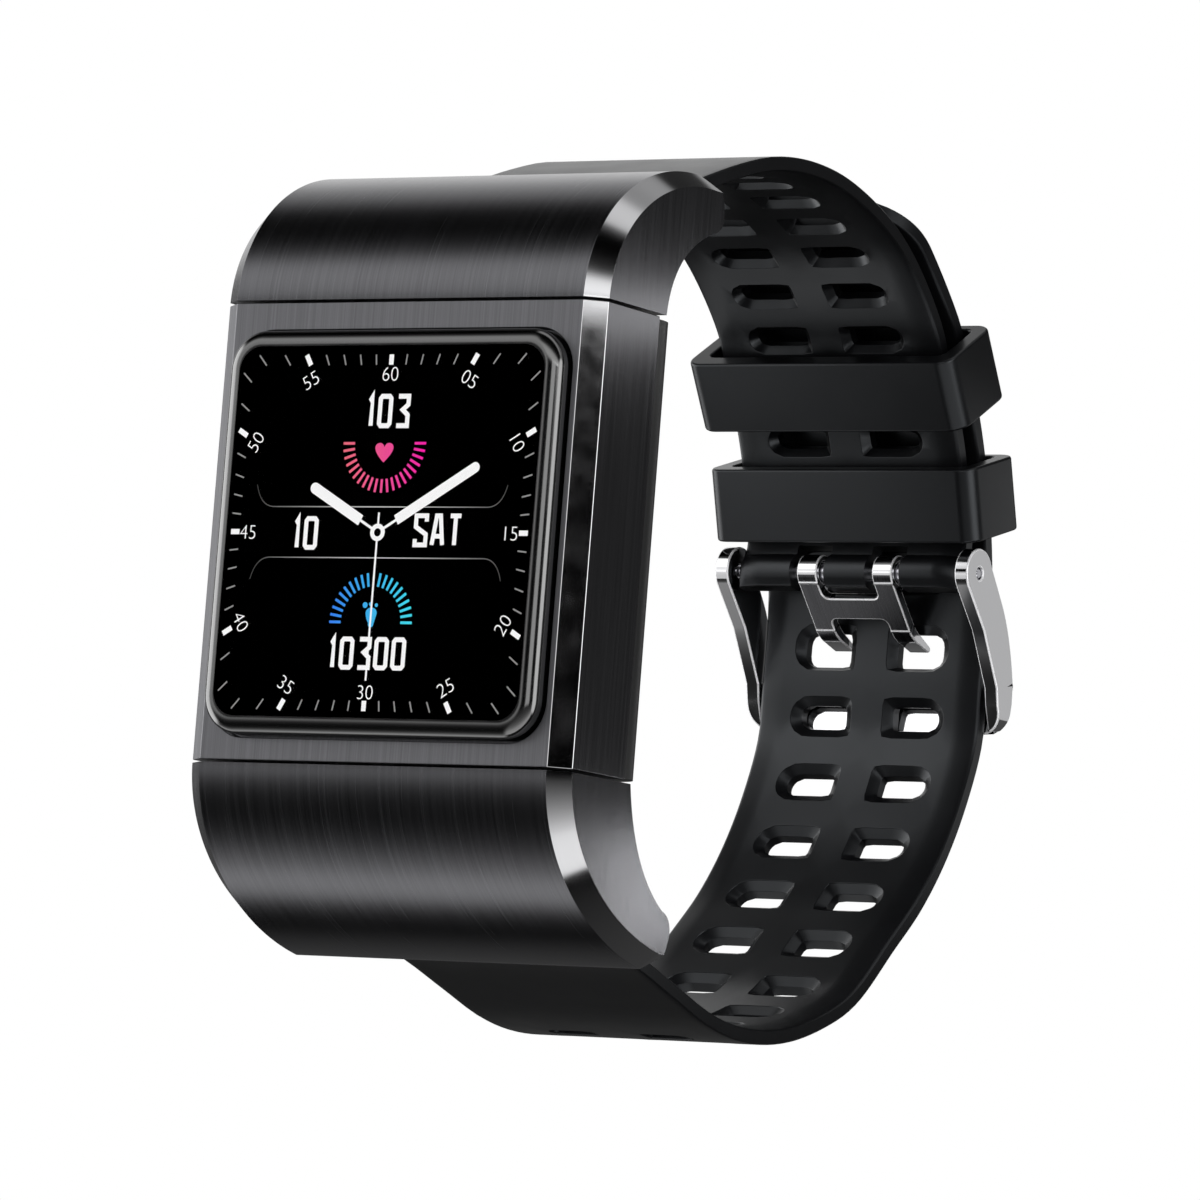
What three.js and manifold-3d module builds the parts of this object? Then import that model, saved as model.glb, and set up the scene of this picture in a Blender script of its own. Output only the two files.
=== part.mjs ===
// Square smartwatch with a metal case in three sections and a perforated silicone strap.
//
// Millimetres. +Z points to 12 o'clock, +X to 3 o'clock, and the display faces -Y.
// The origin is the centre of the flat sensor window that rests on the wrist.
// The strap is closed into a loop: the long strap (6 o'clock) runs outside the short one
// (12 o'clock), under the buckle frame and through both keepers.

import * as THREE from 'three';
import { mergeVertices } from 'three/addons/utils/BufferGeometryUtils.js';
import Module from 'manifold-3d';

const wasm = await Module();
wasm.setup();

// ---------------------------------------------------------------- driving dimensions

const CASE_HALF_WIDTH = 17.3;
const CASE_FRONT_Y = -12.3;
const CASE_METAL_BACK_Y = -4.0;
const CHAMFER_ACROSS = 1.53;
const CHAMFER_DEPTH = 1.2;
const SEAM_Z = 17.6;
const SEAM_GAP = 0.3;
const WALL = 1.4;
const FRONT_PLATE = 1.6;

const GLASS_HALF = { x: 15.1, z: 15.4 };
const GLASS_TOP_Y = -13.9;
const GLASS_BOTTOM_Y = -11.6;
const GLASS_CORNER = 3.0;
const GLASS_EDGE = 0.55;
const DISPLAY_HALF = { x: 14.0, z: 14.2 };
const DISPLAY_CORNER = 2.0;
const DISPLAY_CENTRE_Z = -0.2;
const DISPLAY_FRONT_GAP = 0.15;
const GLASS_THICKNESS = 0.4;
const GLASS_REBATE = { clearance: 0.2, depth: 1.0 };
const DISPLAY_WINDOW = { x: 13.6, z: 13.8 };
const GASKET = { x: 14.95, z: 15.25, corner: 2.85, y: [-11.5, -11.35], clearance: 0.2 };

const BACK_FLAT_Y = -0.6;
const BACK_TOP_Y = -3.7;
const BACK_FLOOR = 1.1;
const SENSOR_RADIUS = 7.5;
const SENSOR_HOLE_RADIUS = 6.5;
const SENSOR_LIGHT = { half: 0.8, halfZ: 0.9, spacing: 2.6 };

const STRAP_THICKNESS = 1.5;
const STRAP_HALF_AT_CASE = 10.9;
const STRAP_HALF_AT_BUCKLE = 10.5;
const STRAP_CASE_Y = 3.7;
const STRAP_BUCKLE_Y = 47.7;
const STRAP_TIP_RADIUS = 7.0;
const UPPER_BAR = { y: -0.7, z: 25.9 };
const LOWER_BAR = { y: -0.7, z: -27.1 };
const BAR_BARREL_RADIUS = 1.8;
const BAR_HOLE_RADIUS = 0.6;

// The stretch that the keepers slide on is an arc about this centre.
const LOOP_CENTRE = { y: 16.2, z: -0.4 };
const SHORT_ARC_RADIUS = 40.25;
const LONG_ARC_RADIUS = 43.25;
const LOWER_ARC = { y: 26.8, z: 0.9, radius: 33.6 };

// Slots run from SLOT.inner to SLOT.outer on both sides of the middle. The long strap's rows
// are counted from the one that the prongs go through, the short strap's from the pin.
const SLOT = { inner: 1.5, outer: 7.35 };
const LONG_SLOTS = { height: 3.5, pitch: 6.05, firstRow: -9, lastRow: 2, engagedZ: 0.15, engagedExtra: 0.4 };
const SHORT_SLOTS = { height: 2.6, pitch: 4.5, rows: 9, fromPin: 11.3 };

const KEEPER = { halfWidth: 12.65, innerHalfWidth: 11.2, innerRadius: 37.35, outerRadius: 45.3,
  boreLow: 38.95, boreHigh: 44.35, length: 6.1, corner: 1.5, innerCorner: 0.8 };
const UPPER_KEEPER_ANGLE = 31.6;
const LOWER_KEEPER_ANGLE = 17.4;

const PIN = { y: 54.8, z: 5.7 };
const PIN_BARREL = { radius: 1.5, halfWidth: 10.4 };
const BAR_BORE_RADIUS = 1.05;
const PIN_BORE_RADIUS = 0.95;
const ARM = { inner: 10.85, outer: 12.1, headRadius: 2.05 };
const PRONG = { centre: 3.6, halfWidth: 0.93, ringOuter: 1.45, ringInner: 0.92 };
const PRONG_NOTCH = { inner: 1.95, outer: 5.25, radius: 1.75 };
const STRAP_TIP_ROUNDING = 0.92;
const STRAP_POCKET = { halfWidth: 11.2, roof: 1.0, backY: -3.35, openY: 9 };
const BAR_HOLE_SPAN = [10, 12.8];

// Three blind pockets open at the seam and lighten each cover, with the screw holes between them.
const COVER_POCKET = { y: [-9.2, -4.8], z: [15, 22], middleHalf: 6.2, outerX: [10.0, 15.2] };

const MOTOR = { x: -5.5, z: 9.3, radius: 4.0, wall: 0.3 };
const CONTACTS = { x: 2.6, z: -11.2, radius: 1.0, flange: 1.5 };
const COVER_SCREW = { x: 8.0, y: -7.5, shank: 0.6, head: 1.2 };
const BACK_SCREW = { x: 12.9, z: 13.2, shank: 0.6, head: 1.15 };
const SCREW_BOSS = { x: [11.4, 16.2], z: [11.7, 14.7], backY: -5.7 };
const SCREW_CLEARANCE = 0.3;
const THREAD_CLEARANCE = 0.1;

const ROUND = 16;
const SMALL_ROUND = 12;

// ---------------------------------------------------------------- shape helpers

const rad = THREE.MathUtils.degToRad;

function toSolid(geometry) {
  const plain = geometry.index ? geometry.toNonIndexed() : geometry.clone();
  plain.deleteAttribute('normal');
  plain.deleteAttribute('uv');
  const merged = mergeVertices(plain, 1e-4);
  return new wasm.Manifold(new wasm.Mesh({
    numProp: 3,
    vertProperties: new Float32Array(merged.attributes.position.array),
    triVerts: new Uint32Array(merged.index.array),
  }));
}

function toGeometry(solid) {
  const mesh = solid.getMesh();
  const geometry = new THREE.BufferGeometry();
  geometry.setAttribute('position', new THREE.BufferAttribute(mesh.vertProperties.slice(), 3));
  geometry.setIndex(new THREE.BufferAttribute(mesh.triVerts.slice(), 1));
  geometry.computeVertexNormals();
  return geometry;
}

function box([x0, x1], [y0, y1], [z0, z1]) {
  const geometry = new THREE.BoxGeometry(x1 - x0, y1 - y0, z1 - z0);
  return toSolid(geometry.translate((x0 + x1) / 2, (y0 + y1) / 2, (z0 + z1) / 2));
}

function slab(halfX, [y0, y1], halfZ, centreZ = 0) {
  return box([-halfX, halfX], [y0, y1], [centreZ - halfZ, centreZ + halfZ]);
}

// A side-view outline, given as (y, z), spread along X.
function alongX(shape, [x0, x1], curveSegments = 12) {
  const geometry = new THREE.ExtrudeGeometry(shape, { depth: x1 - x0, bevelEnabled: false, curveSegments });
  const sideView = new THREE.Matrix4().set(0, 0, 1, x0, 1, 0, 0, 0, 0, 1, 0, 0, 0, 0, 0, 1);
  return toSolid(geometry.applyMatrix4(sideView));
}

// A front-view outline, given as (x, z), spread along Y.
function alongY(shape, [y0, y1], curveSegments = 4) {
  const geometry = new THREE.ExtrudeGeometry(shape, { depth: y1 - y0, bevelEnabled: false, curveSegments });
  return toSolid(geometry.rotateX(Math.PI / 2).translate(0, y1, 0));
}

function rodAlongX(radius, [x0, x1], at, sides = ROUND) {
  const geometry = new THREE.CylinderGeometry(radius, radius, x1 - x0, sides);
  return toSolid(geometry.rotateZ(Math.PI / 2).translate((x0 + x1) / 2, at.y, at.z));
}

function rodAlongY(radius, [y0, y1], at, sides = ROUND) {
  const geometry = new THREE.CylinderGeometry(radius, radius, y1 - y0, sides);
  return toSolid(geometry.translate(at.x, (y0 + y1) / 2, at.z));
}

function rodAlongZ(radius, [z0, z1], at, sides = ROUND) {
  const geometry = new THREE.CylinderGeometry(radius, radius, z1 - z0, sides);
  return toSolid(geometry.rotateX(Math.PI / 2).translate(at.x, at.y, (z0 + z1) / 2));
}

function roundedRectangle(halfWidth, halfHeight, radius, centreHeight = 0) {
  const shape = new THREE.Shape();
  shape.absarc(halfWidth - radius, centreHeight + halfHeight - radius, radius, 0, Math.PI / 2);
  shape.absarc(radius - halfWidth, centreHeight + halfHeight - radius, radius, Math.PI / 2, Math.PI);
  shape.absarc(radius - halfWidth, centreHeight - halfHeight + radius, radius, Math.PI, 1.5 * Math.PI);
  shape.absarc(halfWidth - radius, centreHeight - halfHeight + radius, radius, 1.5 * Math.PI, 2 * Math.PI);
  return shape;
}

function polygon(points) {
  return new THREE.Shape(points.map(([x, y]) => new THREE.Vector2(x, y)));
}

function union(solids) {
  return solids.reduce((whole, solid) => whole.add(solid));
}

function cutAll(body, cutters) {
  return cutters.reduce((rest, cutter) => rest.subtract(cutter), body);
}

// ---------------------------------------------------------------- materials

const material = (color, roughness, metalness) =>
  new THREE.MeshStandardMaterial({ color, roughness, metalness });

const gunmetal = material(0x55565a, 0.38, 0.9);
const polishedSteel = material(0xc9c9cb, 0.15, 1.0);
const brushedSteel = material(0xa5a5a8, 0.35, 1.0);
const blackGlass = material(0x050506, 0.05, 0.1);
const displayBlack = material(0x020203, 0.3, 0.0);
const silicone = material(0x1b1c1e, 0.62, 0.0);
const blackPlastic = material(0x141416, 0.45, 0.0);
const gasketFoam = material(0x0c0c0d, 0.9, 0.0);
const boardGreen = material(0x12402a, 0.5, 0.0);
const shieldTin = material(0xb8bcc0, 0.35, 0.9);
const batteryFoil = material(0x8d9196, 0.4, 0.6);
const sensorGlass = material(0x101418, 0.08, 0.0);
const gold = material(0xd9b25a, 0.25, 1.0);

const watch = new THREE.Group();

function place(name, solid, surface, turn = 0, pivot = null) {
  const mesh = new THREE.Mesh(toGeometry(solid), surface);
  mesh.name = name;
  if (pivot) {
    mesh.position.set(0, pivot.y, pivot.z);
    mesh.rotation.x = turn;
  }
  watch.add(mesh);
  return mesh;
}

// ---------------------------------------------------------------- case

const UPPER_SWEEP = { y: 2.0, z: SEAM_Z - 0.1, deep: 14.3, tall: 11.85 };
const LOWER_SWEEP = { y: 7.7, z: 0.1 - SEAM_Z, deep: 20.0, tall: 14.1 };
const UPPER_TIP_ANGLE = rad(88);
const LOWER_TIP_ANGLE = rad(255);

// Side-view outline of the whole case, running on behind it, so that its bevelled edge
// chamfers only the visible front of the three metal sections.
function chamferedEnvelope() {
  const outline = new THREE.Shape();
  outline.absellipse(LOWER_SWEEP.y, LOWER_SWEEP.z, LOWER_SWEEP.deep, LOWER_SWEEP.tall,
    LOWER_TIP_ANGLE, Math.PI, true, 0);
  outline.absellipse(UPPER_SWEEP.y, UPPER_SWEEP.z, UPPER_SWEEP.deep, UPPER_SWEEP.tall,
    Math.PI, UPPER_TIP_ANGLE, true, 0);
  outline.lineTo(30, 29);
  outline.lineTo(30, -31);
  const geometry = new THREE.ExtrudeGeometry(outline, {
    depth: 2 * (CASE_HALF_WIDTH - CHAMFER_ACROSS),
    bevelEnabled: true,
    bevelThickness: CHAMFER_ACROSS,
    bevelSize: CHAMFER_DEPTH,
    bevelOffset: -CHAMFER_DEPTH,
    bevelSegments: 1,
    curveSegments: 12,
  });
  const sideView = new THREE.Matrix4().set(
    0, 0, 1, CHAMFER_ACROSS - CASE_HALF_WIDTH, 1, 0, 0, 0, 0, 1, 0, 0, 0, 0, 0, 1);
  return toSolid(geometry.applyMatrix4(sideView));
}

const envelope = chamferedEnvelope();
const CASE_SPAN = [-CASE_HALF_WIDTH, CASE_HALF_WIDTH];
const MIDDLE_HALF_Z = SEAM_Z - SEAM_GAP / 2;
const COVER_START_Z = SEAM_Z + SEAM_GAP / 2;
const signs = [-1, 1];
const screwCorners = signs.flatMap((sx) =>
  signs.map((sz) => ({ x: sx * BACK_SCREW.x, z: sz * BACK_SCREW.z })));

// The span from near to far on the positive side, or its mirror image on the negative side.
const spanOn = (side, near, far) => (side > 0 ? [near, far] : [-far, -near]);

function caseMiddle() {
  const block = box(CASE_SPAN, [CASE_FRONT_Y, CASE_METAL_BACK_Y], [-MIDDLE_HALF_Z, MIDDLE_HALF_Z]);
  const plateBack = CASE_FRONT_Y + FRONT_PLATE;
  const cavity = slab(CASE_HALF_WIDTH - WALL, [plateBack, 0], MIDDLE_HALF_Z - WALL);
  const margin = GLASS_REBATE.clearance;
  const rebate = alongY(
    roundedRectangle(GLASS_HALF.x + margin, GLASS_HALF.z + margin, GLASS_CORNER + margin, DISPLAY_CENTRE_Z),
    [CASE_FRONT_Y - 1, CASE_FRONT_Y + GLASS_REBATE.depth]);
  const windowSpan = [CASE_FRONT_Y - 1, plateBack + 1];
  const window = slab(DISPLAY_WINDOW.x, windowSpan, DISPLAY_WINDOW.z, DISPLAY_CENTRE_Z);
  const bosses = signs.flatMap((sx) => signs.map((sz) => box(
    spanOn(sx, ...SCREW_BOSS.x), [plateBack - 0.1, SCREW_BOSS.backY], spanOn(sz, ...SCREW_BOSS.z))));
  const backHoles = screwCorners.map((corner) =>
    rodAlongY(BACK_SCREW.shank + THREAD_CLEARANCE, [-10.2, -5], corner, SMALL_ROUND));
  const coverHoles = signs.map((sx) =>
    rodAlongZ(COVER_SCREW.shank + SCREW_CLEARANCE, [-20, 20], { x: sx * COVER_SCREW.x, y: COVER_SCREW.y },
      SMALL_ROUND));
  const shell = cutAll(block.intersect(envelope), [cavity, rebate, window]);
  return cutAll(union([shell, ...bosses]), [...backHoles, ...coverHoles]);
}

// The side-view outline of an end cover: seam, blunt tip, and the hollow of the wrist side.
// Its front runs outside the envelope, which then trims it to the sweep and the chamfer.
function endCoverOutline(side) {
  const outline = new THREE.Shape();
  outline.moveTo(-3.1, side * COVER_START_Z);
  outline.lineTo(CASE_FRONT_Y - 2, side * COVER_START_Z);
  outline.lineTo(CASE_FRONT_Y - 2, side * 33);
  if (side > 0) {
    outline.lineTo(2.5, 33);
    outline.lineTo(2.5, 29.3);
    outline.quadraticCurveTo(3.9, 28.2, 3.9, 26.2);
    outline.quadraticCurveTo(3.8, 25.1, 2.7, 24.9);
    outline.quadraticCurveTo(-2.7, 22.8, -3.1, COVER_START_Z);
  } else {
    outline.lineTo(2.55, -33);
    outline.lineTo(2.55, -31.1);
    outline.quadraticCurveTo(3.6, -30.0, 3.9, -28.2);
    outline.quadraticCurveTo(3.8, -27.0, 2.6, -26.7);
    outline.quadraticCurveTo(-1.9, -24.0, -3.1, -COVER_START_Z);
  }
  return outline;
}

// The strap end lies in a pocket that opens towards the wrist; this is the pocket's side view.
function strapPocketOutline(side) {
  const { roof, backY, openY } = STRAP_POCKET;
  const sweep = side > 0 ? UPPER_SWEEP : LOWER_SWEEP;
  const from = side > 0 ? rad(114) : rad(234);
  const to = side > 0 ? UPPER_TIP_ANGLE : LOWER_TIP_ANGLE;
  const outline = new THREE.Shape();
  outline.absellipse(sweep.y, sweep.z, sweep.deep - roof, sweep.tall - roof, from, to, side > 0, 0);
  outline.lineTo(openY, side * 29);
  outline.lineTo(openY, side * 16);
  outline.lineTo(backY, side * 16);
  return outline;
}

function endCover(side) {
  const bar = side > 0 ? UPPER_BAR : LOWER_BAR;
  const seamToPocketEnd = spanOn(side, ...COVER_POCKET.z);
  const cutters = [
    alongX(strapPocketOutline(side), [-STRAP_POCKET.halfWidth, STRAP_POCKET.halfWidth], 8),
    box([-COVER_POCKET.middleHalf, COVER_POCKET.middleHalf], COVER_POCKET.y, seamToPocketEnd),
  ];
  for (const sx of signs) {
    const screwAt = { x: sx * COVER_SCREW.x, y: COVER_SCREW.y };
    cutters.push(
      box(spanOn(sx, ...COVER_POCKET.outerX), COVER_POCKET.y, seamToPocketEnd),
      rodAlongX(BAR_HOLE_RADIUS, spanOn(sx, ...BAR_HOLE_SPAN), bar, SMALL_ROUND),
      rodAlongZ(COVER_SCREW.shank + THREAD_CLEARANCE, spanOn(side, 15, 22.4), screwAt, SMALL_ROUND));
  }
  return cutAll(alongX(endCoverOutline(side), CASE_SPAN, 8).intersect(envelope), cutters);
}

place('case_middle', caseMiddle(), gunmetal);
place('upper_end_cover', endCover(1), gunmetal);
place('lower_end_cover', endCover(-1), gunmetal);

// Four screws run outwards from inside the case middle into the end covers.
for (const sz of signs) {
  for (const sx of signs) {
    const at = { x: sx * COVER_SCREW.x, y: COVER_SCREW.y };
    const screw = rodAlongZ(COVER_SCREW.head, spanOn(sz, 14.95, 15.95), at, SMALL_ROUND)
      .add(rodAlongZ(COVER_SCREW.shank, spanOn(sz, 15.8, 22.0), at, SMALL_ROUND));
    place(`${sz > 0 ? 'upper' : 'lower'}_cover_screw_${sx > 0 ? 'right' : 'left'}`, screw, brushedSteel);
  }
}

// ---------------------------------------------------------------- display

function displayBlock(margin, span) {
  return alongY(roundedRectangle(DISPLAY_HALF.x + margin, DISPLAY_HALF.z + margin,
    DISPLAY_CORNER + margin, DISPLAY_CENTRE_Z), span);
}

function coverGlass() {
  const outline = roundedRectangle(GLASS_HALF.x - GLASS_EDGE, GLASS_HALF.z - GLASS_EDGE,
    GLASS_CORNER - GLASS_EDGE, DISPLAY_CENTRE_Z);
  const geometry = new THREE.ExtrudeGeometry(outline, {
    depth: GLASS_BOTTOM_Y - GLASS_TOP_Y - GLASS_EDGE,
    bevelEnabled: true,
    bevelThickness: GLASS_EDGE,
    bevelSize: GLASS_EDGE,
    bevelSegments: 2,
    curveSegments: 4,
  });
  const block = toSolid(geometry.rotateX(Math.PI / 2).translate(0, GLASS_BOTTOM_Y, 0));
  const clipped = block.intersect(slab(20, [GLASS_TOP_Y - 1, GLASS_BOTTOM_Y], 20));
  return clipped.subtract(
    displayBlock(DISPLAY_FRONT_GAP, [GLASS_TOP_Y + GLASS_THICKNESS, GLASS_BOTTOM_Y + 1]));
}

function displayGasket() {
  const ring = alongY(roundedRectangle(GASKET.x, GASKET.z, GASKET.corner, DISPLAY_CENTRE_Z), GASKET.y);
  return ring.subtract(displayBlock(GASKET.clearance, [-12, -11]));
}

place('cover_glass', coverGlass(), blackGlass);
place('display_gasket', displayGasket(), gasketFoam);
place('display_panel',
  displayBlock(0, [GLASS_TOP_Y + GLASS_THICKNESS + DISPLAY_FRONT_GAP, -11.9]), displayBlack);

// ---------------------------------------------------------------- electronics

place('main_board', slab(11.0, [-10.2, -9.4], 14.4), boardGreen);

const shieldCup = box([-9.5, 9.5], [-9.2, -7.9], [4.6, 14.0])
  .subtract(box([-9.2, 9.2], [-10, -8.2], [4.9, 13.7]));
place('shield_can', shieldCup, shieldTin);
place('battery', box([-10.6, 10.6], [-9.1, -5.8], [-14.4, 3.4]), batteryFoil);

const motorCan = rodAlongY(MOTOR.radius, [-7.7, -5.1], MOTOR)
  .subtract(rodAlongY(MOTOR.radius - MOTOR.wall, [-7.4, -4], MOTOR));
const motorBase = rodAlongY(MOTOR.radius, [-4.9, -4.5], MOTOR)
  .add(rodAlongY(0.4, [-7.1, -4.8], MOTOR, SMALL_ROUND));
const rotorHub = rodAlongY(1.0, [-7.1, -5.4], MOTOR, SMALL_ROUND);
const rotorDisc = rodAlongY(3.3, [-7.0, -5.6], MOTOR)
  .intersect(box([MOTOR.x - 4, MOTOR.x + 4], [-8, -4], [MOTOR.z - 4, MOTOR.z + 0.6]));
const motorRotor = rotorDisc.add(rotorHub).subtract(rodAlongY(0.5, [-8, -4], MOTOR, SMALL_ROUND));
place('vibration_motor_can', motorCan, shieldTin);
place('vibration_motor_base', motorBase, brushedSteel);
place('vibration_motor_rotor', motorRotor, gold);

// ---------------------------------------------------------------- case back

const BACK_HALF_Z = MIDDLE_HALF_Z - 0.15;

function caseBack() {
  const section = polygon([
    [-17.0, BACK_TOP_Y], [17.0, BACK_TOP_Y], [16.7, -2.1], [15.8, -1.05], [14.6, BACK_FLAT_Y],
    [-14.6, BACK_FLAT_Y], [-15.8, -1.05], [-16.7, -2.1],
  ]);
  const plate = toSolid(new THREE.ExtrudeGeometry(section, { depth: 2 * BACK_HALF_Z, bevelEnabled: false })
    .translate(0, 0, -BACK_HALF_Z));
  const rim = slab(14.6, [-5.4, BACK_TOP_Y + 0.1], 14.7);
  const hollow = slab(13.4, [-6, BACK_FLAT_Y - BACK_FLOOR], 13.5);
  const bosses = screwCorners.map((corner) => rodAlongY(1.6, [-5.2, BACK_FLAT_Y - 0.3], corner, SMALL_ROUND)
    .intersect(slab(14.6, [-6, 0], 14.7)));
  const centre = { x: 0, z: 0 };
  const sensorHole = rodAlongY(SENSOR_HOLE_RADIUS, [-4, 1], centre, 2 * ROUND);
  const sensorSeat = rodAlongY(SENSOR_RADIUS + 0.3, [-1.15, 1], centre, 2 * ROUND);
  const screwHoles = screwCorners.flatMap((corner) => [
    rodAlongY(BACK_SCREW.shank + SCREW_CLEARANCE, [-7, 1], corner, SMALL_ROUND),
    rodAlongY(BACK_SCREW.head + SCREW_CLEARANCE, [-1.6, 1], corner, SMALL_ROUND),
  ]);
  const contactHoles = signs.map((sx) => rodAlongY(CONTACTS.radius + 0.25, [-4, 1],
    { x: sx * CONTACTS.x, z: CONTACTS.z }));
  return cutAll(union([plate.add(rim).subtract(hollow), ...bosses]),
    [sensorHole, sensorSeat, ...screwHoles, ...contactHoles]);
}

function lathe(profile, sides) {
  return toSolid(new THREE.LatheGeometry(profile.map(([r, y]) => new THREE.Vector2(r, y)), sides));
}

place('case_back', caseBack(), blackPlastic);
place('case_back_seal',
  slab(15.6, [-5.1, -4.2], 15.7).subtract(slab(14.9, [-6, -4], 15.0)), gasketFoam);
place('sensor_window',
  lathe([[0, -1.9], [6.2, -1.9], [6.2, -1.0], [SENSOR_RADIUS, -1.0], [SENSOR_RADIUS, -0.45],
    [7.0, 0], [0, 0]], 2 * ROUND), sensorGlass);
const lights = [-SENSOR_LIGHT.spacing, 0, SENSOR_LIGHT.spacing].map((x) =>
  slab(SENSOR_LIGHT.half, [-2.9, -2.3], SENSOR_LIGHT.halfZ).translate(x, 0, 0));
place('sensor_board', union([slab(7.5, [-3.5, -2.8], 6.0), ...lights]), boardGreen);

for (const sx of signs) {
  const side = sx > 0 ? 'right' : 'left';
  const at = { x: sx * CONTACTS.x, z: CONTACTS.z };
  place(`charging_contact_${side}`,
    rodAlongY(CONTACTS.radius, [-2.0, -0.35], at).add(rodAlongY(CONTACTS.flange, [-2.4, -1.95], at)), gold);
  for (const sz of signs) {
    const corner = { x: sx * BACK_SCREW.x, z: sz * BACK_SCREW.z };
    const screw = rodAlongY(BACK_SCREW.head, [-1.5, BACK_FLAT_Y - 0.05], corner, SMALL_ROUND)
      .add(rodAlongY(BACK_SCREW.shank, [-9.6, -1.4], corner, SMALL_ROUND));
    place(`back_screw_${sz > 0 ? 'upper' : 'lower'}_${side}`, screw, brushedSteel);
  }
}

// ---------------------------------------------------------------- strap

const onArc = (centre, radius, degrees) => [
  centre.y + radius * Math.cos(rad(degrees)),
  centre.z + radius * Math.sin(rad(degrees)),
];

function pathThrough(points) {
  return new THREE.SplineCurve(points.map(([y, z]) => new THREE.Vector2(y, z)));
}

const shortPath = pathThrough([
  [UPPER_BAR.y, UPPER_BAR.z], [3.2, 27.1], [10.4, 29.9], [16.0, 32.0], [21.0, 33.45], [26.5, 34.1],
  [32.3, 33.7], [38.3, 32.0], [43.2, 29.4], [48.0, 25.0],
  ...[32, 26, 20, 16.5, 13].map((degrees) => onArc(LOOP_CENTRE, SHORT_ARC_RADIUS, degrees)),
  [PIN.y, PIN.z],
]);
const longPath = pathThrough([
  [LOWER_BAR.y, LOWER_BAR.z], [3.2, -28.3], [9.9, -29.9], [15.8, -31.8], [21.2, -33.5], [26.4, -34.2],
  [32.3, -33.8], [38.0, -32.2], [42.9, -29.8],
  ...[-51, -42, -33, -24, -15].map((degrees) => onArc(LOWER_ARC, LOWER_ARC.radius, degrees)),
  ...[-4, 2, 8, 14, 20, 26, 32, 38].map((degrees) => onArc(LOOP_CENTRE, LONG_ARC_RADIUS, degrees)),
  [44.4, 31.5], [39.4, 33.9],
]);

function strapHalfWidth(y) {
  const share = THREE.MathUtils.clamp((y - STRAP_CASE_Y) / (STRAP_BUCKLE_Y - STRAP_CASE_Y), 0, 1);
  return THREE.MathUtils.lerp(STRAP_HALF_AT_CASE, STRAP_HALF_AT_BUCKLE, share);
}

// A band of constant thickness that follows a side-view path. The width is a function of position.
function band(path, stations, halfWidthAt) {
  const outer = [];
  const inner = [];
  for (let i = 0; i <= stations; i += 1) {
    const point = path.getPointAt(i / stations);
    const tangent = path.getTangentAt(i / stations);
    const normal = new THREE.Vector2(-tangent.y, tangent.x).multiplyScalar(STRAP_THICKNESS / 2);
    outer.push(point.clone().add(normal));
    inner.push(point.clone().sub(normal));
  }
  const geometry = new THREE.ExtrudeGeometry(new THREE.Shape([...outer, ...inner.reverse()]),
    { depth: 2, bevelEnabled: false });
  geometry.applyMatrix4(new THREE.Matrix4().set(0, 0, 1, -1, 1, 0, 0, 0, 0, 1, 0, 0, 0, 0, 0, 1));
  const position = geometry.attributes.position;
  for (let i = 0; i < position.count; i += 1) {
    position.setX(i, position.getX(i) * halfWidthAt(position.getY(i), position.getZ(i)));
  }
  return toSolid(geometry);
}

// A D-shaped slot, round at the strap's edge and square towards the middle, cut square to the path.
function slotCutter(path, distance, side, height, extra = 0) {
  const along = distance / path.getLength();
  const point = path.getPointAt(along);
  const tangent = path.getTangentAt(along);
  const half = height / 2;
  const outline = new THREE.Shape();
  outline.moveTo(SLOT.inner, half);
  outline.lineTo(SLOT.inner, -half - extra);
  outline.lineTo(SLOT.outer - half, -half - extra);
  outline.absarc(SLOT.outer - half, 0, half, -Math.PI / 2, Math.PI / 2);
  const geometry = new THREE.ExtrudeGeometry(outline, { depth: 6, bevelEnabled: false, curveSegments: 3 })
    .translate(0, 0, -3);
  const local = new THREE.Matrix4().set(
    1, 0, 0, 0,
    0, tangent.x, -tangent.y, point.x,
    0, tangent.y, tangent.x, point.y,
    0, 0, 0, 1);
  const cutter = toSolid(geometry.applyMatrix4(local));
  return side > 0 ? cutter : cutter.mirror([1, 0, 0]);
}

function shortStrap() {
  const length = shortPath.getLength();
  const ribbon = band(shortPath, 36, (y) => strapHalfWidth(y));
  const barrels = [
    rodAlongX(BAR_BARREL_RADIUS, [-STRAP_HALF_AT_CASE, STRAP_HALF_AT_CASE], UPPER_BAR),
    rodAlongX(PIN_BARREL.radius, [-PIN_BARREL.halfWidth, PIN_BARREL.halfWidth], PIN),
  ];
  const cutters = [
    rodAlongX(BAR_BORE_RADIUS, [-12, 12], UPPER_BAR, SMALL_ROUND),
    rodAlongX(PIN_BORE_RADIUS, [-12, 12], PIN, SMALL_ROUND),
  ];
  for (const side of signs) {
    cutters.push(rodAlongX(PRONG_NOTCH.radius, spanOn(side, PRONG_NOTCH.inner, PRONG_NOTCH.outer), PIN));
    for (let row = 0; row < SHORT_SLOTS.rows; row += 1) {
      const distance = length - SHORT_SLOTS.fromPin - row * SHORT_SLOTS.pitch;
      cutters.push(slotCutter(shortPath, distance, side, SHORT_SLOTS.height));
    }
  }
  return cutAll(union([ribbon, ...barrels]), cutters);
}

// Where along the long strap the row that the prongs go through lies.
function engagedRowDistance() {
  const length = longPath.getLength();
  let distance = length / 2;
  while (longPath.getPointAt(distance / length).y < LONG_SLOTS.engagedZ) distance += 0.05;
  return distance;
}

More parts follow.
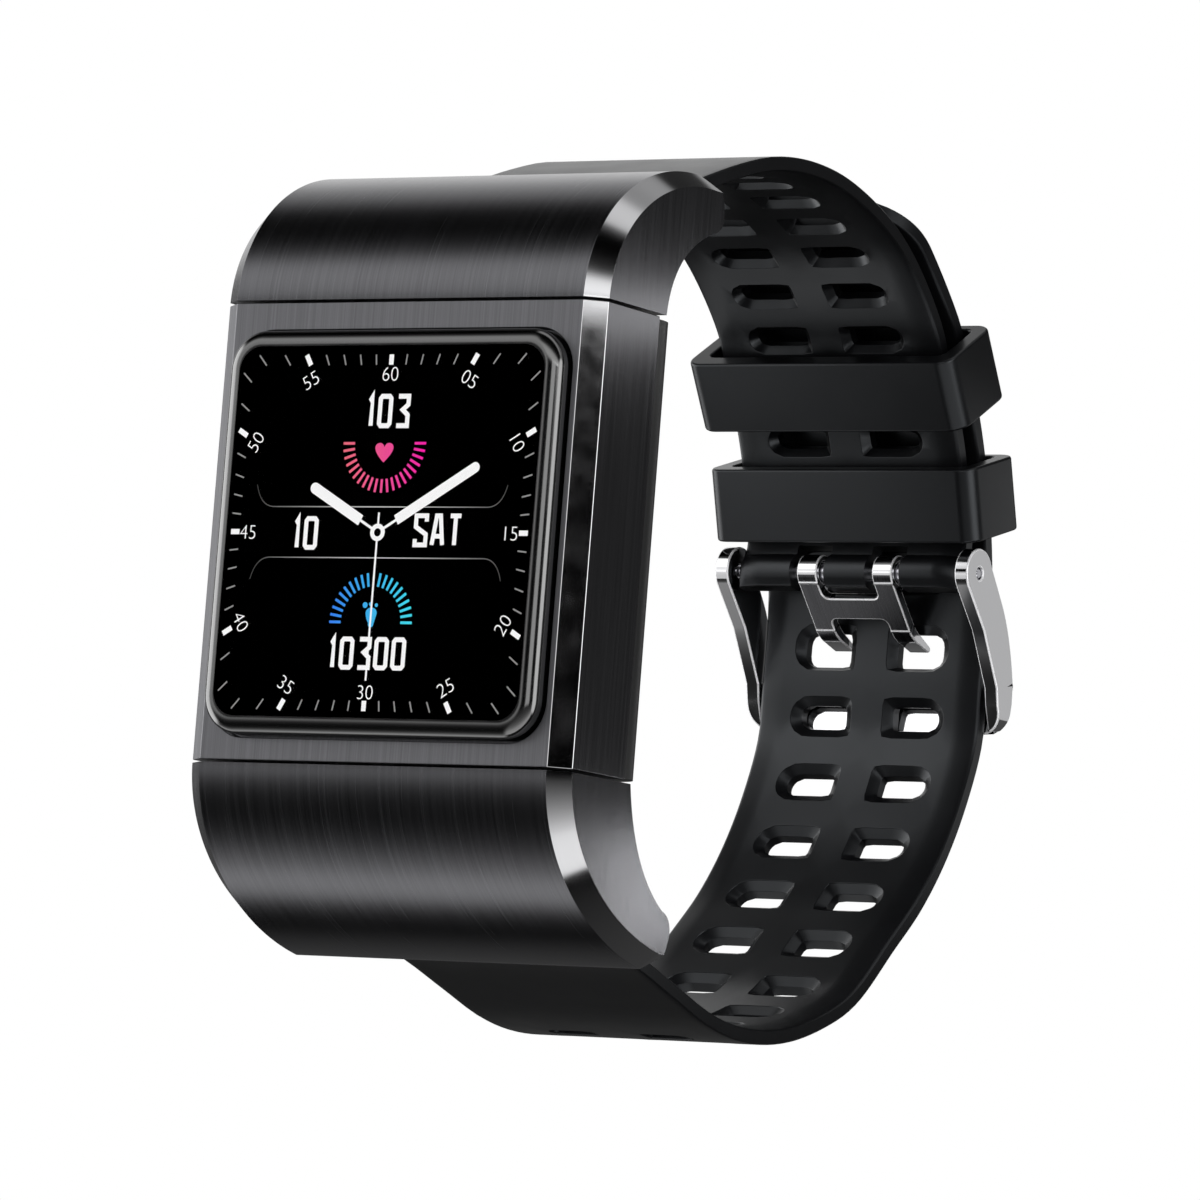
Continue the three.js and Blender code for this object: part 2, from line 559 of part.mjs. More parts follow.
function longStrap() {
  const engaged = engagedRowDistance();
  const tip = longPath.getPointAt(1);
  const ribbon = band(longPath, 56, (y, z) => {
    const fromTip = Math.hypot(y - tip.x, z - tip.y) - STRAP_THICKNESS / 2;
    const reach = THREE.MathUtils.clamp(STRAP_TIP_RADIUS - fromTip, 0, STRAP_TIP_RADIUS);
    const rounding = STRAP_TIP_RADIUS - Math.sqrt(STRAP_TIP_RADIUS ** 2 - reach ** 2);
    return strapHalfWidth(y) - rounding * STRAP_TIP_ROUNDING;
  });
  const barrel = rodAlongX(BAR_BARREL_RADIUS, [-STRAP_HALF_AT_CASE, STRAP_HALF_AT_CASE], LOWER_BAR);
  const cutters = [rodAlongX(BAR_BORE_RADIUS, [-12, 12], LOWER_BAR, SMALL_ROUND)];
  for (const side of signs) {
    for (let row = LONG_SLOTS.firstRow; row <= LONG_SLOTS.lastRow; row += 1) {
      const extra = row === 0 ? LONG_SLOTS.engagedExtra : 0;
      cutters.push(slotCutter(longPath, engaged + row * LONG_SLOTS.pitch, side, LONG_SLOTS.height, extra));
    }
  }
  return cutAll(ribbon.add(barrel), cutters);
}

place('strap_short', shortStrap(), silicone);
place('strap_long', longStrap(), silicone);

// A keeper is a rectangular loop round both straps. Its own Y is radial and its Z runs along the strap.
function keeper() {
  const middle = (KEEPER.innerRadius + KEEPER.outerRadius) / 2;
  const boreMiddle = (KEEPER.boreLow + KEEPER.boreHigh) / 2;
  const outer = roundedRectangle(KEEPER.halfWidth, (KEEPER.outerRadius - KEEPER.innerRadius) / 2,
    KEEPER.corner, middle);
  const bore = roundedRectangle(KEEPER.innerHalfWidth, (KEEPER.boreHigh - KEEPER.boreLow) / 2,
    KEEPER.innerCorner, boreMiddle);
  outer.holes.push(new THREE.Path(bore.getPoints(4).reverse()));
  const options = { depth: KEEPER.length, bevelEnabled: false, curveSegments: 4 };
  return toSolid(new THREE.ExtrudeGeometry(outer, options).translate(0, 0, -KEEPER.length / 2));
}

place('keeper_upper', keeper(), silicone, rad(UPPER_KEEPER_ANGLE), LOOP_CENTRE);
place('keeper_lower', keeper(), silicone, rad(LOWER_KEEPER_ANGLE), LOOP_CENTRE);

// ---------------------------------------------------------------- spring bars

// A hollow tube with a sprung tip at each end. The tips travel inwards to free the bar.
const TIP_CLEARANCE = 0.12;
const TUBE_BORE_START = 5.0;
const TIP_START = 6.6;

function springBar(name, at, { tubeRadius, tubeHalf, tipRadius, tipEnd }) {
  const bores = signs.map((sx) =>
    rodAlongX(tipRadius + TIP_CLEARANCE, spanOn(sx, TUBE_BORE_START, tubeHalf + 1), at, SMALL_ROUND));
  place(`${name}_tube`, cutAll(rodAlongX(tubeRadius, [-tubeHalf, tubeHalf], at), bores), brushedSteel);
  for (const sx of signs) {
    place(`${name}_tip_${sx > 0 ? 'right' : 'left'}`,
      rodAlongX(tipRadius, spanOn(sx, TIP_START, tipEnd), at, SMALL_ROUND), brushedSteel);
  }
}

const CASE_BAR = { tubeRadius: 0.9, tubeHalf: 10.6, tipRadius: 0.4, tipEnd: 12.4 };
springBar('upper_bar', UPPER_BAR, CASE_BAR);
springBar('lower_bar', LOWER_BAR, CASE_BAR);
springBar('buckle_bar', PIN, { tubeRadius: 0.8, tubeHalf: 10.2, tipRadius: 0.45, tipEnd: 12.0 });

// ---------------------------------------------------------------- buckle

const FAR_BAR = polygon([
  [60.5, -2.9], [61.5, -2.7], [61.55, -4.2], [61.2, -6.5], [60.1, -6.9], [60.35, -5.0],
]);

function buckleFrame() {
  const arm = new THREE.Shape();
  arm.absarc(PIN.y, PIN.z, ARM.headRadius, rad(25), rad(215));
  arm.lineTo(56.2, 1.2);
  arm.lineTo(58.9, -3.2);
  arm.lineTo(59.2, -4.6);
  arm.lineTo(60.1, -6.9);
  arm.lineTo(61.2, -6.5);
  arm.lineTo(61.55, -4.2);
  arm.lineTo(61.5, -2.7);
  arm.quadraticCurveTo(60.6, 1.2, 58.9, 3.6);
  let frame = alongX(FAR_BAR, [-ARM.outer, ARM.outer]);
  for (const sx of signs) {
    frame = frame.add(alongX(arm, spanOn(sx, ARM.inner, ARM.outer), 8))
      .subtract(rodAlongX(BAR_HOLE_RADIUS, spanOn(sx, 10, 13), PIN, SMALL_ROUND));
  }
  return frame;
}

function buckleTongue() {
  const prong = polygon([
    [53.75, 4.68], [57.1, 1.1], [60.5, -0.35], [60.85, 0.42], [57.62, 1.9], [54.4, 5.3],
  ]);
  const crossbar = polygon([[54.86, 3.5], [56.27, 2.0], [56.92, 2.62], [55.52, 4.1]]);
  let tongue = alongX(crossbar, [-PRONG.centre, PRONG.centre]);
  for (const sx of signs) {
    const middle = sx * PRONG.centre;
    const span = [middle - PRONG.halfWidth, middle + PRONG.halfWidth];
    tongue = tongue.add(alongX(prong, span)).add(rodAlongX(PRONG.ringOuter, span, PIN));
  }
  return tongue.subtract(rodAlongX(PRONG.ringInner, [-6, 6], PIN));
}

place('buckle_frame', buckleFrame(), polishedSteel);
place('buckle_tongue', buckleTongue(), brushedSteel);

export default watch;
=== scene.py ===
"""The looks of a square smartwatch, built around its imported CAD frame.

The frame is the CAD model's: +Z to 12 o'clock, +X to 3 o'clock, and the display faces -Y. Sizes are
in millimetres, and each mesh is turned into metres when it is finished.
"""

import math

import bmesh
import bpy
from mathutils import Matrix, Vector


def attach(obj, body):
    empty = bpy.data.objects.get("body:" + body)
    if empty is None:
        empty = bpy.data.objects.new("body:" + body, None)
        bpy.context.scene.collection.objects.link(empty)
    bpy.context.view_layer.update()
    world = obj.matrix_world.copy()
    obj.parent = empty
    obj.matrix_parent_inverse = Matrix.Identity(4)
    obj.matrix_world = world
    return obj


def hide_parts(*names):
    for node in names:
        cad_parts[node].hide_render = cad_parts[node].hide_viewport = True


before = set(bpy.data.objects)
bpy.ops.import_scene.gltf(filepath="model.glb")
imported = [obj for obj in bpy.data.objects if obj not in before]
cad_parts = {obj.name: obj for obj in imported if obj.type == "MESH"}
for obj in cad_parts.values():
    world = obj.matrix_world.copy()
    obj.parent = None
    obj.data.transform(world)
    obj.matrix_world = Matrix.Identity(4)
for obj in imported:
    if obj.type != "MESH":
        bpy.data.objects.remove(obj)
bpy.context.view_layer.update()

MM = 0.001
SIGNS = (-1, 1)
SIDES = ((-1, "left"), (1, "right"))
ROUND = 64
MERGE_DISTANCE = 0.0005


# ---------------------------------------------------------------- camera, light and floor

CAMERA_PLACE = Vector((340.31, -503.53, -65.16)) * MM
CAMERA_RIGHT = Vector((0.83893, 0.53873, 0.07724))
CAMERA_UP = Vector((-0.00940, -0.12756, 0.99180))
CAMERA_BACK = Vector((0.54416, -0.83277, -0.10196))
FLOOR_Z = -85 * MM
FLOOR_REACH = 8000 * MM


def add_camera():
    data = bpy.data.cameras.new("camera")
    data.sensor_width = 36
    data.lens = 240
    data.clip_start = 0.05
    data.clip_end = 50
    camera = bpy.data.objects.new("camera", data)
    turn = Matrix((CAMERA_RIGHT, CAMERA_UP, CAMERA_BACK)).transposed().to_4x4()
    camera.matrix_world = Matrix.Translation(CAMERA_PLACE) @ turn
    bpy.context.scene.collection.objects.link(camera)
    bpy.context.scene.camera = camera


def add_panel(name, seen_from, direction, distance, size, radiance, shift):
    """A small lit panel that a face at seen_from sees along direction, and mirrors into the camera.

    shift moves the panel sideways and upwards from where the middle of the face would see it.
    """
    direction = Vector(direction).normalized()
    sideways = direction.cross(Vector((0, 0, 1))).normalized()
    upwards = sideways.cross(direction)
    place = Vector(seen_from) + direction * distance + sideways * shift[0] + upwards * shift[1]
    data = bpy.data.lights.new(name, "AREA")
    data.shape = "RECTANGLE"
    data.size, data.size_y = size[0] * MM, size[1] * MM
    data.energy = radiance * math.pi * data.size * data.size_y
    light = bpy.data.objects.new(name, data)
    light.matrix_world = Matrix((sideways, upwards, direction)).transposed().to_4x4()
    light.location = place * MM
    light.visible_camera = False
    bpy.context.scene.collection.objects.link(light)


# Brightness of the studio as the gloss sees it, against the angle in degrees from straight ahead
# (0) over the top (90) to straight behind (180), and under the floor on the negative side.
LEFT_STUDIO = (
    (-180, 0.12), (-150, 0.1), (-137, 0.08), (-125, 0.0), (-113, 0.0), (-103, 0.75), (-93, 1.15),
    (-83, 0.75), (-71, 0.36), (-55, 0.07), (-38, 0.02), (-21, 0.06), (-7, 0.38), (4, 0.85),
    (21, 0.9), (36, 1.05), (49, 0.55), (62, 0.06), (75, 0.0), (95, 0.0), (104, 0.12), (116, 0.5),
    (130, 0.75), (150, 1.0), (168, 0.9), (180, 0.5))
RIGHT_STUDIO = (
    (-180, 0.09), (-142, 0.07), (-100, 0.03), (-82, 0.01), (-79, 1.35), (-60, 1.3), (-49, 0.95),
    (-37, 0.55), (-22, 0.25), (-7, 0.08), (3, 0.0), (13, 0.0), (18, 1.5), (25, 1.4), (35, 0.5),
    (44, 0.04), (68, 0.0), (75, 0.1), (82, 0.85), (90, 0.95), (98, 0.7), (106, 0.4), (117, 0.45),
    (124, 0.35), (129, 0.03), (180, 0.09))
STUDIO_PEAK = 2.0

# The rest of the studio is placed by the x, y and z of the direction in which it is seen. A fade
# gives where something begins and where it is full, or its middle, its reach and its full reach.
RIGHT_STUDIO_FADE = (-0.4, -0.22)
ASIDE_FADE = (0.82, 0.9)
ASIDE_LIGHT = 0.1
ASIDE_STRIP = {"y": (-0.18, 0.4, 0.3), "z": (0, 0.55, 0.35), "light": 2.6}
EDGE_CARD = {"x": (0.33, 0.24, 0.17), "z": (0.1, 0.22, 0.14), "y_fade": (0, -0.3), "light": 1.5}
# A black card stands where the flat glass would mirror the studio into the camera.
BLACK_CARD = {"towards": (-0.544, -0.833, 0.109), "degrees": (8, 4)}
MATT_LIGHT = 0.9
BACKDROP = 1.0


def add_world():
    """White for the camera, even light for matt surfaces, and a striped studio for gloss."""
    world = bpy.data.worlds.new("studio")
    world.use_nodes = True
    bpy.context.scene.world = world
    nodes, links = world.node_tree.nodes, world.node_tree.links
    nodes.clear()

    def node(kind, **values):
        made = nodes.new(kind)
        for key, value in values.items():
            setattr(made, key, value)
        return made

    def math_node(operation, *inputs):
        made = node("ShaderNodeMath", operation=operation)
        for socket, value in zip(made.inputs, inputs):
            if isinstance(value, (int, float)):
                socket.default_value = value
            else:
                links.new(value, socket)
        return made.outputs[0]

    def ramped(value, stops, low, high):
        curve = node("ShaderNodeFloatCurve")
        points = curve.mapping.curves[0].points
        curve.mapping.extend = "HORIZONTAL"
        while len(points) < len(stops):
            points.new(0.5, 0.5)
        for point, (place, height) in zip(points, stops):
            point.location = ((place - low) / (high - low), height / STUDIO_PEAK)
            point.handle_type = "AUTO_CLAMPED"
        curve.mapping.update()
        links.new(value, curve.inputs["Value"])
        return math_node("MULTIPLY", curve.outputs["Value"], STUDIO_PEAK)

    def smooth(value, low, high):
        share = node("ShaderNodeMapRange", interpolation_type="SMOOTHSTEP")
        share.inputs["From Min"].default_value = low
        share.inputs["From Max"].default_value = high
        links.new(value, share.inputs["Value"])
        return share.outputs["Result"]

    def around(value, middle, reach, full):
        return smooth(math_node("ABSOLUTE", math_node("SUBTRACT", value, middle)), reach, full)

    def faded(first, second, share):
        """first where share is 0, and second where it is 1."""
        return math_node("ADD", math_node("MULTIPLY", second, share),
                         math_node("MULTIPLY", first, math_node("SUBTRACT", 1, share)))

    split = node("ShaderNodeSeparateXYZ")
    place = node("ShaderNodeTexCoord").outputs["Generated"]
    links.new(place, split.inputs[0])
    x, y, z = (split.outputs[axis] for axis in "XYZ")
    over = math_node("ARCTAN2", z, math_node("MULTIPLY", y, -1))
    share = math_node("ADD", math_node("DIVIDE", over, math.tau), 0.5)
    left = ramped(share, LEFT_STUDIO, -180, 180)
    right = ramped(share, RIGHT_STUDIO, -180, 180)
    studio = faded(left, right, smooth(x, *RIGHT_STUDIO_FADE))
    strip = math_node("MULTIPLY", around(y, *ASIDE_STRIP["y"]), around(z, *ASIDE_STRIP["z"]))
    aside = math_node("ADD", math_node("MULTIPLY", strip, ASIDE_STRIP["light"]), ASIDE_LIGHT)
    total = faded(studio, aside, smooth(math_node("ABSOLUTE", x), *ASIDE_FADE))
    card = math_node("MULTIPLY", around(x, *EDGE_CARD["x"]), around(z, *EDGE_CARD["z"]))
    card = math_node("MULTIPLY", card, smooth(y, *EDGE_CARD["y_fade"]))
    total = math_node("ADD", total, math_node("MULTIPLY", card, EDGE_CARD["light"]))
    nearness = node("ShaderNodeVectorMath", operation="DOT_PRODUCT")
    links.new(place, nearness.inputs[0])
    nearness.inputs[1].default_value = BLACK_CARD["towards"]
    limits = [math.cos(math.radians(degrees)) for degrees in BLACK_CARD["degrees"]]
    flag = smooth(nearness.outputs["Value"], *limits)
    total = math_node("MULTIPLY", total, math_node("SUBTRACT", 1, flag))

    def light(strength):
        background = node("ShaderNodeBackground")
        background.inputs["Color"].default_value = (1, 1, 1, 1)
        if isinstance(strength, (int, float)):
            background.inputs["Strength"].default_value = strength
        else:
            links.new(strength, background.inputs["Strength"])
        return background.outputs[0]

    def mixed(share, first, second):
        mix = node("ShaderNodeMixShader")
        links.new(share, mix.inputs["Fac"])
        links.new(first, mix.inputs[1])
        links.new(second, mix.inputs[2])
        return mix.outputs[0]

    path = node("ShaderNodeLightPath")
    shaded = mixed(path.outputs["Is Diffuse Ray"], light(total), light(MATT_LIGHT))
    shown = mixed(path.outputs["Is Camera Ray"], shaded, light(BACKDROP))
    links.new(shown, node("ShaderNodeOutputWorld").inputs["Surface"])


def add_floor(surface):
    mesh = bpy.data.meshes.new("floor")
    corners = [(x * FLOOR_REACH, y * FLOOR_REACH, FLOOR_Z)
               for x, y in ((-1, -1), (1, -1), (1, 1), (-1, 1))]
    mesh.from_pydata(corners, [], [(0, 1, 2, 3)])
    mesh.materials.append(surface)
    floor = bpy.data.objects.new("floor", mesh)
    floor.visible_glossy = False
    bpy.context.scene.collection.objects.link(floor)


# ---------------------------------------------------------------- materials

class Surface:
    """A node material under construction: its Principled shader and short ways to add to it."""

    def __init__(self, name, color, roughness, metallic=0.0, **values):
        self.material = bpy.data.materials.new(name)
        self.material.use_nodes = True
        self.nodes = self.material.node_tree.nodes
        self.links = self.material.node_tree.links
        self.shader = self.nodes["Principled BSDF"]
        self.set("Base Color", (*color, 1))
        self.set("Roughness", roughness)
        self.set("Metallic", metallic)
        for key, value in values.items():
            self.set(key.replace("_", " "), value)
        self.place = self.nodes.new("ShaderNodeTexCoord").outputs["Object"]

    def set(self, socket, value):
        self.shader.inputs[socket].default_value = value

    def noise(self, scale, detail=3.0, roughness=0.55):
        """Noise in object space; scale is a number of features per metre for each axis."""
        stretch = self.nodes.new("ShaderNodeVectorMath")
        stretch.operation = "MULTIPLY"
        stretch.inputs[1].default_value = scale
        self.links.new(self.place, stretch.inputs[0])
        texture = self.nodes.new("ShaderNodeTexNoise")
        texture.inputs["Scale"].default_value = 1
        texture.inputs["Detail"].default_value = detail
        texture.inputs["Roughness"].default_value = roughness
        self.links.new(stretch.outputs[0], texture.inputs["Vector"])
        return texture.outputs["Fac"]

    def ranged(self, value, low, high, from_low=0.3, from_high=0.7):
        spread = self.nodes.new("ShaderNodeMapRange")
        spread.inputs["From Min"].default_value = from_low
        spread.inputs["From Max"].default_value = from_high
        spread.inputs["To Min"].default_value = low
        spread.inputs["To Max"].default_value = high
        self.links.new(value, spread.inputs["Value"])
        return spread.outputs["Result"]

    def vary(self, socket, value, low, high):
        self.links.new(self.ranged(value, low, high), self.shader.inputs[socket])

    def mix_color(self, share, first, second, socket):
        mix = self.nodes.new("ShaderNodeMix")
        mix.data_type = "RGBA"
        mix.inputs["A"].default_value = (*first, 1)
        mix.inputs["B"].default_value = (*second, 1)
        self.links.new(share, mix.inputs["Factor"])
        self.links.new(mix.outputs["Result"], self.shader.inputs[socket])

    def vary_color(self, value, dark, light):
        self.mix_color(self.ranged(value, 0, 1), dark, light, "Base Color")

    def bump(self, value, distance, strength=1.0):
        bump = self.nodes.new("ShaderNodeBump")
        bump.inputs["Distance"].default_value = distance
        bump.inputs["Strength"].default_value = strength
        self.links.new(value, bump.inputs["Height"])
        self.links.new(bump.outputs["Normal"], self.shader.inputs["Normal"])


def grey(value, blue=1.0):
    return (value, value, value * blue)


def brushed_metal(name, value, roughness, grain, depth):
    """Metal with fine brush lines. grain is the number of lines per metre along each axis."""
    surface = Surface(name, grey(value, 1.05), roughness, 1.0)
    lines = surface.noise(grain, detail=4.0, roughness=0.7)
    surface.vary("Roughness", lines, roughness - 0.03, roughness + 0.04)
    surface.vary_color(lines, grey(value * 0.82, 1.06), grey(value * 1.18, 1.06))
    surface.bump(lines, depth)
    return surface.material


def textured(name, color, roughness, spread, grain, detail=2.0, metallic=0.0, bump=None, **values):
    """A surface whose roughness varies over spread, with a bump of (depth, strength)."""
    surface = Surface(name, color, roughness, metallic, **values)
    texture = surface.noise((grain, grain, grain), detail)
    surface.vary("Roughness", texture, *spread)
    if bump:
        surface.bump(texture, *bump)
    return surface.material


def polished_metal(name, value, roughness, metallic=1.0):
    return textured(name, grey(value, 1.02), roughness, (roughness * 0.8, roughness * 1.3), 500,
                    metallic=metallic)


def moulded_plastic(name, value, roughness, grain=5000, depth=0.00001, specular=0.5):
    return textured(name, grey(value, 1.03), roughness, (roughness - 0.06, roughness + 0.08), grain,
                    bump=(depth, 0.6), Specular_IOR_Level=specular)


def clear_glass(name, color, specular=0.5):
    return textured(name, color, 0.0, (0.0, 0.012), 300, Transmission_Weight=1.0, IOR=1.45,
                    Specular_IOR_Level=specular)


def silicone_rubber():
    surface = Surface("silicone", grey(0.003, 1.2), 0.33, Specular_IOR_Level=0.4)
    surface.set("Specular Tint", (0.9, 0.95, 1.0, 1))
    skin = surface.noise((9000, 9000, 9000), detail=2.0)
    cloud = surface.noise((160, 160, 160), detail=3.0)
    surface.vary("Roughness", cloud, 0.31, 0.36)
    surface.vary_color(cloud, grey(0.0026, 1.2), grey(0.0034, 1.2))
    surface.bump(skin, 0.00001, 0.5)
    return surface.material


def circuit_board():
    surface = Surface("circuit_board", (0.015, 0.09, 0.035), 0.35)
    tracks = surface.noise((1500, 300, 1500), detail=1.0)
    surface.vary_color(tracks, (0.01, 0.06, 0.025), (0.03, 0.15, 0.06))
    surface.bump(tracks, 0.00003)
    return surface.material


def glow(name, left, right, reach=14, strength=1.0, fade=None):
    """Lit dial graphics, coloured from left to right as far as reach on each side of the middle.

    fade gives how far from the middle the light begins to fall, and where it has nearly gone.
    """
    surface = Surface(name, grey(0.0), 0.6)
    split = surface.nodes.new("ShaderNodeSeparateXYZ")
    surface.links.new(surface.place, split.inputs[0])
    share = surface.ranged(split.outputs["X"], 0, 1, -reach * MM, reach * MM)
    surface.mix_color(share, left, right, "Emission Color")
    surface.set("Emission Strength", strength)
    if fade:
        distance = surface.nodes.new("ShaderNodeMath")
        distance.operation = "ABSOLUTE"
        surface.links.new(split.outputs["X"], distance.inputs[0])
        near, far = fade
        power = surface.ranged(distance.outputs[0], strength, 0.05, near * MM, far * MM)
        surface.links.new(power, surface.shader.inputs["Emission Strength"])
    return surface.material


# Brush lines per metre along x, y and z: few along the lines, and thousands across them.
PROFILE_GRAIN = (7000, 30, 30)
UPRIGHT_GRAIN = (9000, 6500, 60)

brushed_front = brushed_metal("brushed_front", 0.15, 0.24, PROFILE_GRAIN, 0.000006)
brushed_plate = brushed_metal("brushed_plate", 0.22, 0.42, PROFILE_GRAIN, 0.000004)
brushed_side = brushed_metal("brushed_side", 0.13, 0.22, UPRIGHT_GRAIN, 0.000006)
polished_edge = polished_metal("polished_edge", 0.55, 0.09)
silicone = silicone_rubber()
polished_steel = polished_metal("polished_steel", 0.72, 0.08)
satin_steel = brushed_metal("satin_steel", 0.62, 0.2, (3000, 3000, 3000), 0.000001)
brushed_steel = brushed_metal("brushed_steel", 0.09, 0.27, (6000, 150, 150), 0.000005)
# painted highlight: a whitish half-metal surface for the buckle's bevels, so that its steel edges
# show a bright rim under any light
painted_highlight_edge = polished_metal("painted_highlight_edge", 0.9, 0.3, 0.45)
screw_steel = brushed_metal("screw_steel", 0.3, 0.3, (7000, 7000, 7000), 0.000002)
border_glass = textured("border_glass", grey(0.001), 0.14, (0.12, 0.16), 300, IOR=2.3)
window_glass = clear_glass("window_glass", grey(0.95), 0.05)
sensor_glass = clear_glass("sensor_glass", (0.06, 0.065, 0.075))
display_black = moulded_plastic("display_black", 0.0002, 0.7, specular=0.0)
case_plastic = moulded_plastic("case_plastic", 0.012, 0.38)
gasket_foam = moulded_plastic("gasket_foam", 0.006, 0.85, 2500, 0.00003)
board_green = circuit_board()
battery_foil = textured("battery_foil", grey(0.32), 0.4, (0.3, 0.5), 260, 3.0, 0.5, (0.0001, 1.0))
shield_tin = brushed_metal("shield_tin", 0.55, 0.32, (900, 900, 900), 0.000004)
gold = textured("gold", (0.83, 0.58, 0.22), 0.25, (0.18, 0.34), 2500, metallic=1.0)
pale_floor = textured("pale_floor", grey(0.8), 0.8, (0.7, 0.9), 40, 3.0)


# ---------------------------------------------------------------- mesh helpers

SHARP_BEVELLED = 75


def finish_piece(name, mesh_data, surfaces, body, nodes, smooth=30, bevel=None, turn=None,
                 choose=None, weighted=False, edge_surface=-1, merge=True):
    """Puts a bmesh in millimetres into the scene as a named piece that rides on a CAD body.

    smooth is the angle in degrees from which an edge is sharp, or is bevelled where bevel gives a
    width and a number of segments. choose(face) gives the number of a face's surface, and
    edge_surface is the number of the bevels' own surface.
    """
    if merge:
        bmesh.ops.remove_doubles(mesh_data, verts=mesh_data.verts, dist=MERGE_DISTANCE)
    bmesh.ops.recalc_face_normals(mesh_data, faces=mesh_data.faces)
    if mesh_data.calc_volume(signed=True) < 0:
        bmesh.ops.reverse_faces(mesh_data, faces=mesh_data.faces)
    if turn:
        mesh_data.transform(turn)
    if choose:
        mesh_data.normal_update()
        for face in mesh_data.faces:
            face.material_index = choose(face)
    mesh_data.transform(Matrix.Scale(MM, 4))
    mesh = bpy.data.meshes.new(name)
    mesh_data.to_mesh(mesh)
    mesh_data.free()
    for surface in surfaces:
        mesh.materials.append(surface)
    piece = bpy.data.objects.new(name, mesh)
    bpy.context.scene.collection.objects.link(piece)
    if bevel:
        width, segments = bevel
        edge = piece.modifiers.new("edge", "BEVEL")
        edge.width = width * MM
        edge.segments = segments
        edge.limit_method = "ANGLE"
        edge.angle_limit = math.radians(smooth)
        edge.harden_normals = True
        edge.material = edge_surface
        edge.use_clamp_overlap = edge_surface < 0
        edge.miter_outer = "MITER_ARC"
        mesh.shade_smooth()
        mesh.set_sharp_from_angle(angle=math.radians(SHARP_BEVELLED))
    else:
        mesh.shade_smooth()
        mesh.set_sharp_from_angle(angle=math.radians(smooth))
    if weighted:
        piece.modifiers.new("flats", "WEIGHTED_NORMAL").keep_sharp = True
    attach(piece, body)
    if nodes:
        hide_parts(*nodes)
    return piece


def bridge(made, near, far):
    """Faces between two rings of vertices."""
    for i, _ in enumerate(near):
        j = (i + 1) % len(near)
        made.faces.new((near[j], near[i], far[i], far[j]))


def extruded(points, place, low, high):
    """A prism: an outline of 2-D points, and place(point, height) that puts it in space."""
    made = bmesh.new()
    near = [made.verts.new(place(point, low)) for point in points]
    far = [made.verts.new(place(point, high)) for point in points]
    made.faces.new(near)
    made.faces.new(far[::-1])
    bridge(made, near, far)
    bmesh.ops.recalc_face_normals(made, faces=made.faces)
    return made


def prism_x(points, low, high):
    return extruded(points, lambda p, x: (x, p[0], p[1]), low, high)


def prism_y(points, low, high):
    return extruded(points, lambda p, y: (p[0], y, p[1]), low, high)


def cuboid(x, y, z):
    return prism_y([(x[0], z[0]), (x[1], z[0]), (x[1], z[1]), (x[0], z[1])], *y)


AXES = {
    "x": lambda t, a, b: (t, a, b),
    "y": lambda t, a, b: (a, t, b),
}


def lathe(axis, at, profile, sides=ROUND):
    """Turns a profile of (radius, place along the axis) about an axis through at."""
    made = bmesh.new()
    rings = []
    for radius, t in profile:
        count = 1 if radius == 0 else sides
        ring = []
        for i in range(count):
            angle = math.tau * i / sides
            a, b = at[0] + radius * math.cos(angle), at[1] + radius * math.sin(angle)
            ring.append(made.verts.new(AXES[axis](t, a, b)))
        rings.append(ring)
    for near, far in zip(rings, rings[1:]):
        for i in range(sides):
            j = (i + 1) % sides
            a, b, c, d = i % len(near), j % len(near), j % len(far), i % len(far)
            corners = list(dict.fromkeys((near[a], near[b], far[c], far[d])))
            if len(corners) > 2:
                made.faces.new(corners)
    bmesh.ops.recalc_face_normals(made, faces=made.faces)
    return made


def rod(axis, at, radius, low, high, sides=ROUND):
    return lathe(axis, at, [(0, low), (radius, low), (radius, high), (0, high)], sides)


def solid_object(made):
    mesh = bpy.data.meshes.new("solid")
    made.to_mesh(mesh)
    made.free()
    piece = bpy.data.objects.new("solid", mesh)
    bpy.context.scene.collection.objects.link(piece)
    return piece


def boolean(made, *steps):
    """Joins and cuts bmeshes in turn. A step is ("UNION", "DIFFERENCE" or "INTERSECT", bmesh)."""
    body = solid_object(made)
    tools = []
    for operation, other in steps:
        tool = solid_object(other)
        tools.append(tool)
        modifier = body.modifiers.new(operation, "BOOLEAN")
        modifier.operation = operation
        modifier.solver = "EXACT"
        modifier.object = tool
    graph = bpy.context.evaluated_depsgraph_get()
    mesh = bpy.data.meshes.new_from_object(body.evaluated_get(graph), depsgraph=graph)
    result = bmesh.new()
    result.from_mesh(mesh)
    for piece in [body, *tools]:
        old = piece.data
        bpy.data.objects.remove(piece)
        bpy.data.meshes.remove(old)
    bpy.data.meshes.remove(mesh)
    bmesh.ops.dissolve_degenerate(result, edges=result.edges, dist=MERGE_DISTANCE)
    return result


def arc(centre, radii, first, last, steps):
    """Points on an arc, from first to last in degrees. radii is one radius, or an ellipse's two."""
    wide, tall = (radii, radii) if isinstance(radii, (int, float)) else radii
    points = []
    for i in range(steps + 1):
        angle = math.radians(first + (last - first) * i / steps)
        points.append((centre[0] + wide * math.cos(angle), centre[1] + tall * math.sin(angle)))
    return points


def quadratic(start, control, end, steps=10):
    """Points on a quadratic curve after its start."""
    points = []
    for i in range(1, steps + 1):
        t = i / steps
        points.append(tuple((1 - t) ** 2 * a + 2 * t * (1 - t) * b + t * t * c
                            for a, b, c in zip(start, control, end)))
    return points


def rounded_rectangle(half_x, half_z, radius, centre=(0, 0), steps=10):
    points = []
    corners = ((1, 1, 0), (-1, 1, 90), (-1, -1, 180), (1, -1, 270))
    for sx, sz, first in corners:
        middle = (centre[0] + sx * (half_x - radius), centre[1] + sz * (half_z - radius))
        points += arc(middle, radius, first, first + 90, steps)
    return points


